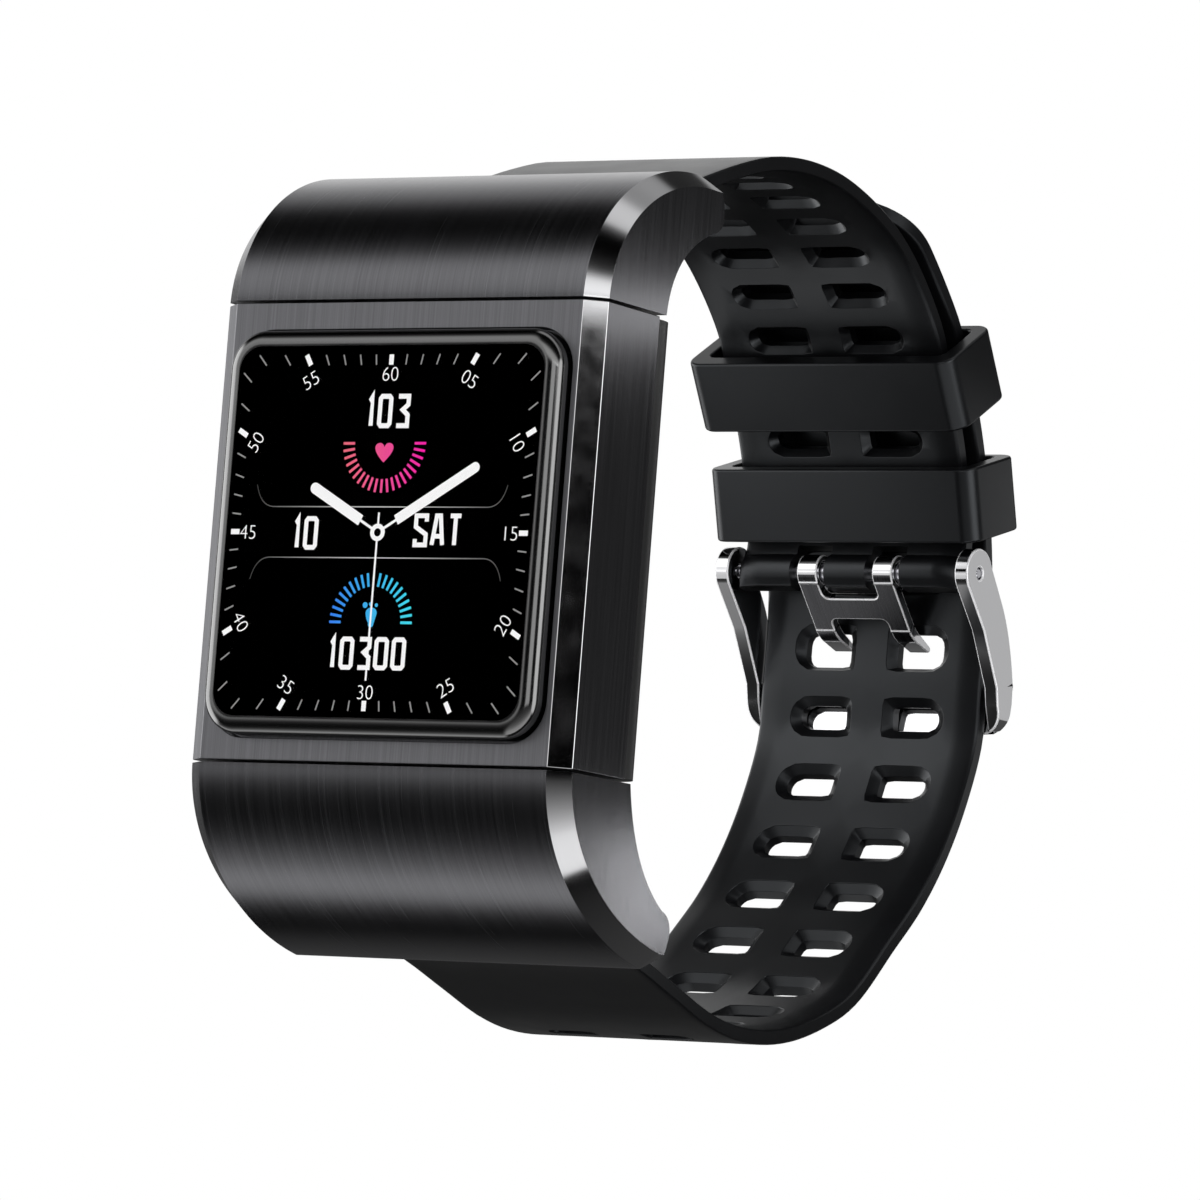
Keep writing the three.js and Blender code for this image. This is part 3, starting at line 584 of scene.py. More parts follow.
def joined(*parts):
    """Several bmeshes as one, without merging them."""
    whole = bmesh.new()
    for part in parts:
        mesh = bpy.data.meshes.new("part")
        part.to_mesh(mesh)
        part.free()
        whole.from_mesh(mesh)
        bpy.data.meshes.remove(mesh)
    return whole


def span_on(side, near, far):
    return (near, far) if side > 0 else (-far, -near)


# ---------------------------------------------------------------- case

CASE_HALF_WIDTH = 17.3
CASE_FRONT_Y = -12.3
CHAMFER_ACROSS = 1.53
CHAMFER_DEPTH = 1.2
SEAM_Z = 17.6
SEAM_GAP = 0.22
MIDDLE_HALF_Z = SEAM_Z - SEAM_GAP / 2
COVER_START_Z = SEAM_Z + SEAM_GAP / 2
UPPER_SWEEP = ((2.0, SEAM_Z - 0.1), (14.3, 11.85))
LOWER_SWEEP = ((7.7, 0.1 - SEAM_Z), (20.0, 14.1))
UPPER_BAR = (-0.7, 25.9)
LOWER_BAR = (-0.7, -27.1)
DISPLAY_CENTRE = (0.0, -0.2)
CASE_EDGE = (0.07, 2)
SWEEP_STEPS = 72
COVER_ROOF = 1.0
STRAP_POCKET_HALF = 11.2


def envelope():
    """The side-view outline of the whole case, spread along X with chamfered sides. It is cut off
    square behind the case, where nothing meets it."""
    outline = arc(*LOWER_SWEEP, 255, 180, SWEEP_STEPS) + arc(*UPPER_SWEEP, 180, 88, SWEEP_STEPS)
    outline += [(30.0, 29.0), (30.0, -31.0)]
    count = len(outline)
    inset = []
    for i, point in enumerate(outline):
        before, after = Vector(outline[i - 1]), Vector(outline[(i + 1) % count])
        along = (after - before).normalized()
        inset.append(Vector(point) + Vector((along.y, -along.x)) * CHAMFER_DEPTH)
    narrow = CASE_HALF_WIDTH - CHAMFER_ACROSS
    made = bmesh.new()
    rings = [[made.verts.new((x, *p)) for p in ring] for x, ring in (
        (-CASE_HALF_WIDTH, inset), (-narrow, outline), (narrow, outline), (CASE_HALF_WIDTH, inset))]
    made.faces.new(rings[0])
    made.faces.new(rings[-1][::-1])
    for near, far in zip(rings, rings[1:]):
        bridge(made, near, far)
    bmesh.ops.recalc_face_normals(made, faces=made.faces)
    return made


COVER_SURFACES = (brushed_front, brushed_side, polished_edge)
PLATE_SURFACES = (brushed_plate, brushed_side, polished_edge)


def case_surface(face):
    """The number of a face's surface: 0 on the front, 1 on the side faces, and 2 on the polished
    right chamfers. The left chamfers get 0 too, the darker brushed front surface as painted shade,
    where the right chamfers are polished."""
    if abs(face.normal.x) > 0.9:
        return 1
    # painted shade: the left chamfers fall through to surface 0, the darker brushed metal, instead
    # of the polished one
    return 2 if face.normal.x > 0.35 else 0


def case_middle():
    span = (-CASE_HALF_WIDTH, CASE_HALF_WIDTH)
    block = cuboid(span, (CASE_FRONT_Y, -4.0), (-MIDDLE_HALF_Z, MIDDLE_HALF_Z))
    glass_seat = prism_y(rounded_rectangle(15.3, 15.6, 3.2, DISPLAY_CENTRE), -13.3, -11.3)
    window = cuboid((-13.6, 13.6), (-13.3, -9.7), (-14.0, 13.6))
    cavity = cuboid((-15.9, 15.9), (-10.7, 0), (-16.05, 16.05))
    made = boolean(block, ("INTERSECT", envelope()), ("DIFFERENCE", cavity),
                   ("DIFFERENCE", glass_seat), ("DIFFERENCE", window))
    finish_piece("case_middle_brushed", made, PLATE_SURFACES, "watch", ["case_middle"],
                 smooth=28, bevel=CASE_EDGE, choose=case_surface)


def end_cover_outline(side):
    """The side view of an end cover: square outside the envelope, and curved towards the wrist."""
    start, beyond = side * COVER_START_Z, CASE_FRONT_Y - 2
    points = [(-3.1, start), (beyond, start), (beyond, 33 * side)]
    if side > 0:
        points += [(2.5, 33.0), (2.5, 29.3)]
        curves = [((3.9, 28.2), (3.9, 26.2)), ((3.8, 25.1), (2.7, 24.9)),
                  ((-2.7, 22.8), (-3.1, start))]
    else:
        points += [(2.55, -33.0), (2.55, -31.1)]
        curves = [((3.6, -30.0), (3.9, -28.2)), ((3.8, -27.0), (2.6, -26.7)),
                  ((-1.9, -24.0), (-3.1, start))]
    for control, end in curves:
        points += quadratic(points[-1], control, end, 14)
    return points[:-1]


def strap_pocket_outline(side):
    """The side view of the room for the strap's end, under a roof of even thickness."""
    centre, (deep, tall) = UPPER_SWEEP if side > 0 else LOWER_SWEEP
    first, last = (114, 88) if side > 0 else (234, 255)
    return arc(centre, (deep - COVER_ROOF, tall - COVER_ROOF), first, last, 24) + [
        (9, side * 29), (9, side * 16), (-3.35, side * 16)]


def end_cover(side):
    name = "upper" if side > 0 else "lower"
    bar = UPPER_BAR if side > 0 else LOWER_BAR
    cover = prism_x(end_cover_outline(side), -CASE_HALF_WIDTH, CASE_HALF_WIDTH)
    strap_pocket = prism_x(strap_pocket_outline(side), -STRAP_POCKET_HALF, STRAP_POCKET_HALF)
    pocket_y, pocket_z = (-9.2, -4.8), span_on(side, 15.0, 22.0)
    steps = [("INTERSECT", envelope()), ("DIFFERENCE", strap_pocket),
             ("DIFFERENCE", cuboid((-6.2, 6.2), pocket_y, pocket_z))]
    for sx in SIGNS:
        steps.append(("DIFFERENCE", cuboid(span_on(sx, 10.0, 15.2), pocket_y, pocket_z)))
        steps.append(("DIFFERENCE", rod("x", bar, 0.6, *span_on(sx, 10.0, 12.8), sides=24)))
    finish_piece(f"{name}_end_cover_brushed", boolean(cover, *steps), COVER_SURFACES, "watch",
                 [f"{name}_end_cover"], smooth=28, bevel=CASE_EDGE, choose=case_surface)


# ---------------------------------------------------------------- glass and dial

GLASS_HALF = (15.1, 15.4)
GLASS_CORNER = 3.0
GLASS_FRONT_Y = -13.9
GLASS_BACK_Y = -11.6
GLASS_EDGE = (1.2, 0.85)
WINDOW_HALF = (13.9, 14.1)
WINDOW_CORNER = 2.0
WINDOW_THICKNESS = 0.4


def cover_glass():
    """A slab with a rounded-over front edge, a clear middle, and a border printed black."""
    made = bmesh.new()

    def ring(half, corner, y):
        outline = rounded_rectangle(*half, corner, DISPLAY_CENTRE, 12)
        return [made.verts.new((x, y, z)) for x, z in outline]

    def glass_ring(inset, y):
        return ring((GLASS_HALF[0] - inset, GLASS_HALF[1] - inset), GLASS_CORNER - inset, y)

    across, deep = GLASS_EDGE
    rings = [glass_ring(0.1, GLASS_BACK_Y), glass_ring(0.0, GLASS_BACK_Y - 0.1)]
    for i in range(13):
        angle = math.radians(90 * i / 12)
        inset, depth = across * (1 - math.cos(angle)), deep * (1 - math.sin(angle))
        rings.append(glass_ring(inset, GLASS_FRONT_Y + depth))
    front, ceiling, mouth = (ring(WINDOW_HALF, WINDOW_CORNER, y) for y in (
        GLASS_FRONT_Y, GLASS_FRONT_Y + WINDOW_THICKNESS, GLASS_BACK_Y))
    rings.append(front)
    for near, far in [*zip(rings, rings[1:]), (ceiling, mouth), (mouth, rings[0])]:
        bridge(made, near, far)
    for face in (made.faces.new(front), made.faces.new(ceiling[::-1])):
        face.material_index = 1
    finish_piece("cover_glass_rounded", made, (border_glass, window_glass), "watch",
                 ["cover_glass"], smooth=40)


DIAL_CENTRE = (-0.2, -0.25)
DIAL_Y = -13.355
LAYER = 0.008
LEVEL_STEP = 3 * LAYER
CAPITAL_SHARE = 0.72
FONT_THINNING = -0.028


class DialLayer:
    """Flat lit shapes on the display, drawn as (x, z) outlines about the dial's centre."""

    def __init__(self, level):
        self.front = DIAL_Y - level * LEVEL_STEP
        self.parts = []

    def shape(self, points):
        outline = [(x + DIAL_CENTRE[0], z + DIAL_CENTRE[1]) for x, z in points]
        self.parts.append(prism_y(outline, self.front - LAYER, self.front))

    def bar(self, start, end, width, round_end=False):
        """A straight bar of that width from start to end, with a round far end if asked."""
        a, b = Vector(start), Vector(end)
        along = (b - a).normalized()
        side = Vector((-along.y, along.x)) * width / 2
        points = [a + side, a - side]
        if round_end:
            middle = b - along * width / 2
            first = math.degrees(math.atan2(along.y, along.x)) - 90
            points += arc(middle, width / 2, first, first + 180, 16)
        else:
            points += [b - side, b + side]
        self.shape(points)

    def ring(self, centre, outer, inner):
        for i in range(2):
            first = 180 * i
            self.shape(arc(centre, outer, first, first + 180, 24)
                       + arc(centre, inner, first + 180, first, 24))

    def stroke(self, points, width, closed=False):
        """A line of constant width through points, with mitred corners."""
        line = [Vector(p) for p in points]
        count = len(line)
        left, right = [], []
        for i, point in enumerate(line):
            before = line[i - 1] if i or closed else None
            after = line[(i + 1) % count] if i < count - 1 or closed else None
            out = None if after is None else (after - point).normalized()
            into = out if before is None else (point - before).normalized()
            out = into if out is None else out
            normal = Vector((-(into + out).y, (into + out).x)).normalized()
            reach = width / 2 / max(normal.dot(Vector((-into.y, into.x))), 0.35)
            left.append(point + normal * reach)
            right.append(point - normal * reach)
        last = count if closed else count - 1
        for i in range(last):
            j = (i + 1) % count
            self.shape([left[i], right[i], right[j], left[j]])

    def text(self, body, height, centre, turn):
        curve = bpy.data.curves.new("label", "FONT")
        curve.body = body
        curve.size = height / CAPITAL_SHARE
        curve.align_x = "CENTER"
        curve.extrude = LAYER / 2
        curve.offset = FONT_THINNING
        label = bpy.data.objects.new("label", curve)
        bpy.context.scene.collection.objects.link(label)
        graph = bpy.context.evaluated_depsgraph_get()
        mesh = bpy.data.meshes.new_from_object(label.evaluated_get(graph), depsgraph=graph)
        made = bmesh.new()
        made.from_mesh(mesh)
        bmesh.ops.remove_doubles(made, verts=made.verts, dist=MERGE_DISTANCE)
        bpy.data.objects.remove(label)
        bpy.data.meshes.remove(mesh)
        upright = Matrix.Rotation(math.radians(90), 4, "X")
        spin = Matrix.Rotation(math.radians(turn), 4, "Z")
        at = Matrix.Translation((centre[0] + DIAL_CENTRE[0], self.front - LAYER / 2,
                                 centre[1] + DIAL_CENTRE[1]))
        made.transform(at @ upright @ spin @ Matrix.Translation((0, -height / 2, 0)))
        self.parts.append(made)

    def finish(self, name, surface):
        finish_piece(name, joined(*self.parts), (surface,), "watch", [], merge=False)


TICK_OUTER = 13.5
TICK_INNER = 12.72
NUMBER_SQUARE = 11.9
NUMBER_HEIGHT = 1.14
NUMBER_SHIFT = 2.0
NUMBER_INSET = 0.3
NUMBER_OUTSET = 0.15


def on_square(half, degrees):
    """The point of a square's edge that lies clockwise by an angle from 12 o'clock."""
    angle = math.radians(degrees)
    direction = Vector((math.sin(angle), math.cos(angle)))
    return direction * half / max(abs(direction.x), abs(direction.y))


# Strokes of the tall narrow letters, in shares of their width and height, and if each is closed.
GLYPHS = {
    "0": [([(0, 0.08), (0, 0.92), (0.16, 1), (0.84, 1), (1, 0.92), (1, 0.08), (0.84, 0), (0.16, 0)],
           True)],
    "1": [([(0.1, 0.86), (0.62, 1), (0.62, 0)], False)],
    "3": [([(0.05, 1), (1, 1), (1, 0.72), (0.5, 0.54), (1, 0.36), (1, 0), (0.0, 0)], False)],
    "S": [([(1, 0.8), (1, 1), (0, 1), (0, 0.62), (1, 0.36), (1, 0), (0, 0), (0, 0.2)], False)],
    "A": [([(0, 0), (0.32, 1), (0.68, 1), (1, 0)], False), ([(0.1, 0.3), (0.9, 0.3)], False)],
    "T": [([(0, 1), (1, 1)], False), ([(0.5, 1), (0.5, 0)], False)],
}
GLYPH_WIDTH = {"1": 0.52}

# Text, its left and bottom, and its letters' height, width, gap and weight.
FIGURES = (
    ("103", -1.82, 7.9, 2.6, 1.33, 0.26, 0.37),
    ("10", -7.7, -1.35, 2.55, 1.3, 0.26, 0.36),
    ("SAT", 3.25, -1.1, 2.55, 1.3, 0.24, 0.35),
    ("10300", -3.55, -10.4, 2.5, 1.3, 0.27, 0.36),
)
PULSE_CENTRE = Vector((0, 6.75))
STEPS_CENTRE = Vector((0, -6.8))
GAUGE_BAR = (2.72, 3.75, 0.2)
# Length, angle in degrees and width of the hour and minute hands.
HANDS = ((7.3, -61, 0.85), (10.1, 59.5, 0.8))


def tall_text(layer, body, left, bottom, height, width, gap, weight):
    x, z = left + weight / 2, bottom + weight / 2
    tall = height - weight
    for letter in body:
        wide = width * GLYPH_WIDTH.get(letter, 1.0)
        for points, closed in GLYPHS[letter]:
            line = [(x + px * (wide - weight), z + pz * tall) for px, pz in points]
            layer.stroke(line, weight, closed)
        x += wide + gap


def minute_number(layer, angle):
    """A number at a multiple of 30 degrees, which leans along the dial except at its two sides.

    The four beside the top and bottom stand a little further round and further in.
    """
    beside_end = min(angle % 180, 180 - angle % 180) == 30
    shift = (NUMBER_SHIFT if angle % 90 == 30 else -NUMBER_SHIFT) * beside_end
    half = NUMBER_SQUARE - NUMBER_INSET * beside_end + NUMBER_OUTSET * (angle % 180 == 0)
    if angle in (90, 270):
        turn = 0
    else:
        turn = 180 - angle if 90 < angle < 270 else -angle
    label = f"{angle // 6:02d}" if angle else "60"
    layer.text(label, NUMBER_HEIGHT, on_square(half, angle + shift), turn)


def gauges():
    """A half ring of bars under a heart, and another over a shoe print."""
    pulse, steps = DialLayer(1), DialLayer(1)
    inner, outer, width = GAUGE_BAR
    for i in range(21):
        angle = math.radians(9 * i)
        down = Vector((math.cos(angle), -math.sin(angle)))
        pulse.bar(PULSE_CENTRE + down * inner, PULSE_CENTRE + down * outer, width)
        if i != 10:
            up = Vector((down.x, -down.y))
            steps.bar(STEPS_CENTRE + up * inner, STEPS_CENTRE + up * outer, width)
    heart = [(0, 5.3)]
    heart += quadratic(heart[-1], (0.78, 5.98), (0.82, 6.4), 8)
    heart += arc((0.42, 6.42), (0.4, 0.36), 0, 170, 12)
    heart += [(-x, z) for x, z in heart[:0:-1]]
    pulse.shape(heart)
    sole = arc((0, -6.1), (0.5, 0.42), -10, 190, 14)
    sole += quadratic(sole[-1], (-0.42, -6.6), (-0.2, -6.85), 5)
    sole += arc((0.03, -6.95), 0.24, 190, 360, 10)
    steps.shape(sole)
    for x, z, radius in ((-0.6, -5.5, 0.22), (-0.12, -5.42, 0.14), (0.42, -5.5, 0.14)):
        steps.shape(arc((x, z), radius, 0, 345, 23))
    pulse.finish("dial_pulse_gauge", glow("dial_pink", (0.85, 0.14, 0.2), (0.9, 0.0, 0.4), 3.8))
    steps.finish("dial_step_gauge", glow("dial_blue", (0.03, 0.22, 0.9), (0.05, 0.75, 0.85), 3.8))


def dial():
    white, marks = DialLayer(1), DialLayer(1)
    for angle in range(0, 360, 6):
        outer, inner = on_square(TICK_OUTER, angle), on_square(TICK_INNER, angle)
        if angle % 30:
            marks.bar(outer, inner, 0.11)
        else:
            white.bar(outer, inner, 0.4)
            minute_number(white, angle)
    for figure in FIGURES:
        tall_text(white, *figure)
    white.finish("dial_figures", glow("dial_white", grey(1.0), grey(1.0)))
    marks.finish("dial_minute_marks", glow("dial_grey", grey(0.3), grey(0.3)))
    gauges()

    lines = DialLayer(1)
    for side in SIGNS:
        middle = [(-9.8, 1.93 * side), (9.8, 1.93 * side)]
        right = quadratic(middle[1], (11.0, 2.0 * side), (11.4, 3.6 * side), 8)
        lines.stroke([(-x, z) for x, z in right[::-1]] + middle + right, 0.07)
    faint = glow("dial_line", grey(0.8), grey(0.8), strength=0.8, fade=(1.5, 11.5))
    lines.finish("dial_dividers", faint)

    hands = DialLayer(2)
    for length, degrees, width in HANDS:
        angle = math.radians(degrees)
        out = Vector((math.sin(angle), math.cos(angle)))
        hands.bar(out * 1.85, out * length, width, round_end=True)
        hands.bar(out * 0.55, out * 1.9, 0.2)
    hands.bar((0, 0.55), (0, 1.5), 0.16)
    hands.bar((0, -0.55), (0, -11.2), 0.16)
    hands.ring((0, 0), 0.66, 0.31)
    hands.finish("dial_hands", glow("dial_hand_white", grey(1.0), grey(1.0)))


# ---------------------------------------------------------------- case back

BACK_SCREW = (12.9, 13.2)
CONTACTS = (2.6, -11.2)
CONTACT_PROFILE = [(0, -2.4), (1.5, -2.4), (1.5, -1.95), (1.0, -1.9), (1.0, -0.5),
                   *arc((0.75, -0.6), 0.25, 20, 90, 6), (0.4, -0.36), (0.0, -0.4)]
SCREW_PROFILE = [(0, -9.6), (0.5, -9.6), (0.6, -9.4), (0.6, -1.5), (1.05, -1.5), (1.15, -1.4),
                 (1.15, -0.8), (1.0, -0.65), (0, -0.65)]


def case_back():
    half_z = MIDDLE_HALF_Z - 0.15
    section = [(-17.0, -3.7), (17.0, -3.7)]
    section += arc((14.6, -3.1), (2.4, 2.5), -14, 90, 16)[1:]
    section += [(-x, y) for x, y in section[:1:-1]]
    plate = extruded(section, lambda p, z: (p[0], p[1], z), -half_z, half_z)
    steps = [
        ("UNION", cuboid((-14.6, 14.6), (-5.4, -3.6), (-14.7, 14.7))),
        ("DIFFERENCE", cuboid((-13.4, 13.4), (-6.0, -1.7), (-13.5, 13.5))),
    ]
    for sx in SIGNS:
        for sz in SIGNS:
            at = (sx * BACK_SCREW[0], sz * BACK_SCREW[1])
            steps.append(("UNION", rod("y", at, 1.35, -5.2, -0.9, sides=32)))
            steps.append(("DIFFERENCE", rod("y", at, 0.9, -7, 1, sides=40)))
            steps.append(("DIFFERENCE", rod("y", at, 1.45, -1.6, 1, sides=48)))
        at = (sx * CONTACTS[0], CONTACTS[1])
        steps.append(("DIFFERENCE", rod("y", at, 1.25, -4, 1, sides=48)))
    steps.append(("DIFFERENCE", rod("y", (0, 0), 6.5, -4, 1)))
    steps.append(("DIFFERENCE", rod("y", (0, 0), 7.8, -1.15, 1, sides=96)))
    made = boolean(plate, *steps)
    finish_piece("case_back_moulded", made, (case_plastic,), "watch", ["case_back"],
                 smooth=28, bevel=(0.1, 2))


def sensor_window():
    profile = [(0, -1.9), (6.2, -1.9), (6.2, -1.0), (7.4, -1.0), (7.5, -0.9), (7.5, -0.55)]
    profile += arc((7.0, -0.5), 0.5, -6, 90, 10)[1:]
    profile += [(0, 0)]
    finish_piece("sensor_window_polished", lathe("y", (0, 0), profile, 96), (sensor_glass,),
                 "watch", ["sensor_window"])


def back_hardware():
    for sx, side in SIDES:
        name = f"charging_contact_{side}"
        pin = lathe("y", (sx * CONTACTS[0], CONTACTS[1]), CONTACT_PROFILE, 48)
        finish_piece(f"{name}_plated", pin, (gold,), "watch", [name])
        for sz, level in ((-1, "lower"), (1, "upper")):
            name = f"back_screw_{level}_{side}"
            x, z = sx * BACK_SCREW[0], sz * BACK_SCREW[1]
            recess = [("DIFFERENCE", cuboid((x - wide, x + wide), (-1.05, 0), (z - tall, z + tall)))
                      for wide, tall in ((0.62, 0.16), (0.16, 0.62))]
            head = boolean(lathe("y", (x, z), SCREW_PROFILE, 48), *recess)
            finish_piece(f"{name}_cross_recess", head, (screw_steel,), "watch",
                         [name])


# ---------------------------------------------------------------- strap

STRAP_THICKNESS = 1.48
HALF_AT_CASE = 10.9
HALF_AT_BUCKLE = 10.5
STRAP_CASE_Y = 3.7
STRAP_BUCKLE_Y = 47.7
TIP_RADIUS = 7.0
BAR_BARREL_RADIUS = 1.8
PIN_BARREL_RADIUS = 1.5
BAR_BORE_RADIUS = 1.05
LOOP_CENTRE = (16.2, -0.4)
LOWER_ARC = ((26.8, 0.9), 33.6)
SHORT_ARC_RADIUS = 40.25
LONG_ARC_RADIUS = 43.25
PIN = (54.8, 5.7)
SLOT_INNER = 1.5
SLOT_OUTER = 7.35
EDGE_START = 8.2


def on_arc(centre, radius, degrees):
    angle = math.radians(degrees)
    return (centre[0] + radius * math.cos(angle), centre[1] + radius * math.sin(angle))


def along_loop(radius, *angles):
    return [on_arc(LOOP_CENTRE, radius, degrees) for degrees in angles]


SHORT_POINTS = [
    UPPER_BAR, (3.2, 27.1), (10.4, 29.9), (16.0, 32.0), (21.0, 33.45), (26.5, 34.1), (32.3, 33.7),
    (38.3, 32.0), (43.2, 29.4), (48.0, 25.0),
    *along_loop(SHORT_ARC_RADIUS, 32, 26, 20, 16.5, 13), PIN]
LONG_POINTS = [
    LOWER_BAR, (3.2, -28.3), (9.9, -29.9), (15.8, -31.8), (21.2, -33.5), (26.4, -34.2),
    (32.3, -33.8), (38.0, -32.2), (42.9, -29.8),
    *[on_arc(*LOWER_ARC, degrees) for degrees in (-51, -42, -33, -24, -15)],
    *along_loop(LONG_ARC_RADIUS, -4, 2, 8, 14, 20, 26, 32, 38), (44.4, 31.5), (39.4, 33.9)]


class StrapPath:
    """A uniform Catmull-Rom curve through side-view points, read by distance along it."""

    def __init__(self, points, steps=40):
        points = [Vector(p) for p in points]
        self.places, self.tangents = [], []
        for i in range(len(points) - 1):
            p0, p1, p2 = points[max(i - 1, 0)], points[i], points[i + 1]
            p3 = points[min(i + 2, len(points) - 1)]
            v0, v1 = (p2 - p0) / 2, (p3 - p1) / 2
            for step in range(steps + (i == len(points) - 2)):
                t = step / steps
                a, b = 2 * p1 - 2 * p2 + v0 + v1, -3 * p1 + 3 * p2 - 2 * v0 - v1
                self.places.append(a * t ** 3 + b * t ** 2 + v0 * t + p1)
                self.tangents.append((3 * a * t ** 2 + 2 * b * t + v0).normalized())
        self.distances = [0.0]
        for first, second in zip(self.places, self.places[1:]):
            self.distances.append(self.distances[-1] + (second - first).length)
        self.length = self.distances[-1]

    def at(self, distance):
        """The place and direction at a distance, carried straight on past the ends."""
        if distance <= 0:
            return self.places[0] + self.tangents[0] * distance, self.tangents[0]
        if distance >= self.length:
            return self.places[-1] + self.tangents[-1] * (distance - self.length), self.tangents[-1]
        low, high = 0, len(self.distances) - 1
        while high - low > 1:
            middle = (low + high) // 2
            if self.distances[middle] <= distance:
                low = middle
            else:
                high = middle
        share = (distance - self.distances[low]) / (self.distances[high] - self.distances[low])
        place = self.places[low].lerp(self.places[high], share)
        return place, self.tangents[low].lerp(self.tangents[high], share).normalized()


def strap_half_width(y):
    share = min(max((y - STRAP_CASE_Y) / (STRAP_BUCKLE_Y - STRAP_CASE_Y), 0), 1)
    return HALF_AT_CASE + (HALF_AT_BUCKLE - HALF_AT_CASE) * share


def evenly(points, count):
    """Points at equal distances along a polyline, its ends included."""
    points = [Vector(p) for p in points]
    reach = [0.0]
    for first, second in zip(points, points[1:]):
        reach.append(reach[-1] + (second - first).length)
    found, i = [], 0
    for step in range(count + 1):
        distance = reach[-1] * step / count
        while i < len(points) - 2 and reach[i + 1] < distance:
            i += 1
        share = (distance - reach[i]) / max(reach[i + 1] - reach[i], 1e-9)
        found.append(points[i].lerp(points[i + 1], share))
    return found


# The strap's edge in section, from EDGE_START (0) to its side (1), as shares of half the
# thickness from one face round to the other. Both faces have the same first numbers, so that
# they meet where the strap ends in a point.
EDGE_SECTION = [
    (0, 1), (0.14, 0.985), (0.3, 0.94), (0.5, 0.85), (0.72, 0.73), (0.88, 0.63), (0.96, 0.55),
    (1, 0.44), (1, -0.8), (0.96, -0.95), *[(u, -1) for u in (0.88, 0.72, 0.5, 0.3, 0.14, 0)]]
# The x of the columns of faces across each half of the strap, and the faces along a slot's side.
COLUMNS = [0, 0.98, 1.95, 3.6, 5.25, 6.7, EDGE_START]
CELL = 6
# A slot is wide from level 1 down to a ledge, and narrow below it. RIM softens its rims.
LEDGE_LEVEL = 0.2
RIM = 0.06


def edge_x(side, u):
    return side * (EDGE_START + u * (HALF_AT_BUCKLE - EDGE_START))


class StrapMesh:
    """A strap half built in (x, distance along, share of half thickness) and bent onto its path."""

    def __init__(self, path, wrist, half_thickness, narrowing=lambda distance: 1.0):
        self.path = path
        self.wrist = wrist
        self.half_thickness = half_thickness
        self.narrowing = narrowing
        self.mesh = bmesh.new()
        self.known = {}

    def vertex(self, x, distance, level):
        key = (round(x, 4), round(distance, 4), round(level, 4))
        if key not in self.known:
            place, tangent = self.path.at(distance)
            size = abs(x)
            if size > EDGE_START:
                stretch = (strap_half_width(place.x) - EDGE_START) / (HALF_AT_BUCKLE - EDGE_START)
                size = EDGE_START + (size - EDGE_START) * stretch
            size *= self.narrowing(distance)
            normal = Vector((-tangent.y, tangent.x)) * self.wrist
            y, z = place + normal * level * self.half_thickness(distance)
            self.known[key] = self.mesh.verts.new((math.copysign(size, x), y, z))
        return self.known[key]

    def face(self, corners):
        found = list(dict.fromkeys(self.vertex(*corner) for corner in corners))
        if len(found) > 2 and self.mesh.faces.get(found) is None:
            self.mesh.faces.new(found)

    def closed(self):
        """The mesh with the pointed ends of its barrels merged."""
        bmesh.ops.remove_doubles(self.mesh, verts=self.mesh.verts, dist=MERGE_DISTANCE)
        return self.mesh

    def edge_strip(self, low, high):
        for side in SIGNS:
            for (u0, n0), (u1, n1) in zip(EDGE_SECTION, EDGE_SECTION[1:]):
                x0, x1 = edge_x(side, u0), edge_x(side, u1)
                self.face([(x0, low, n0), (x0, high, n0), (x1, high, n1), (x1, low, n1)])

    def plain(self, stations, columns=COLUMNS, edges=True):
        """Both faces between stations, on both sides of the middle."""
        for low, high in zip(stations, stations[1:]):
            for side in SIGNS:
                for x0, x1 in zip(columns, columns[1:]):
                    for level in SIGNS:
                        self.face([(side * x0, low, level), (side * x1, low, level),
                                   (side * x1, high, level), (side * x0, high, level)])
            if edges:
                self.edge_strip(low, high)

    def end_wall(self, distance, columns):
        """Closes the strap square across its path."""
        for side in SIGNS:
            for x0, x1 in zip(columns, columns[1:]):
                self.face([(side * x0, distance, -1), (side * x1, distance, -1),
                           (side * x1, distance, 1), (side * x0, distance, 1)])

    def side_wall(self, x, stations):
        for side in SIGNS:
            for low, high in zip(stations, stations[1:]):
                self.face([(side * x, low, -1), (side * x, high, -1),
                           (side * x, high, 1), (side * x, low, 1)])

    def slot_cell(self, low, high, middle, mouth, hole):
        """A stretch of strap with a slot on each side, wide at its mouth and narrow at its hole.

        Each of the two is (x0, x1, below, above, r0, r1): its inner and outer x, its reach each way
        along the strap, and the corner radii at its inner and outer ends.
        """
        stations = [low + (high - low) * i / CELL for i in range(CELL + 1)]
        rim = [(EDGE_START, s) for s in stations] + [(x, high) for x in COLUMNS[-2::-1]]
        rim += [(0, s) for s in stations[-2::-1]] + [(x, low) for x in COLUMNS[1:-1]]
        outer = [Vector(p) for p in rim]
        rings = [(outer, 1)]
        for sizes, grow, level in (
                (mouth, RIM, 1), (mouth, RIM * 0.3, 1 - RIM * 0.5), (mouth, 0, 1 - RIM * 1.5),
                (hole, RIM * 0.5, LEDGE_LEVEL + RIM), (hole, 0, LEDGE_LEVEL),
                (hole, 0, -1 + RIM * 1.5), (hole, RIM, -1)):
            rings.append((slot_outline(middle, sizes, grow), level))
        rings.append((outer, -1))
        for side in SIGNS:
            for (near, n0), (far, n1) in zip(rings, rings[1:]):
                for i in range(4 * CELL):
                    j = (i + 1) % (4 * CELL)
                    self.face([(side * near[i].x, near[i].y, n0), (side * near[j].x, near[j].y, n0),
                               (side * far[j].x, far[j].y, n1), (side * far[i].x, far[i].y, n1)])
        for first, second in zip(stations, stations[1:]):
            self.edge_strip(first, second)


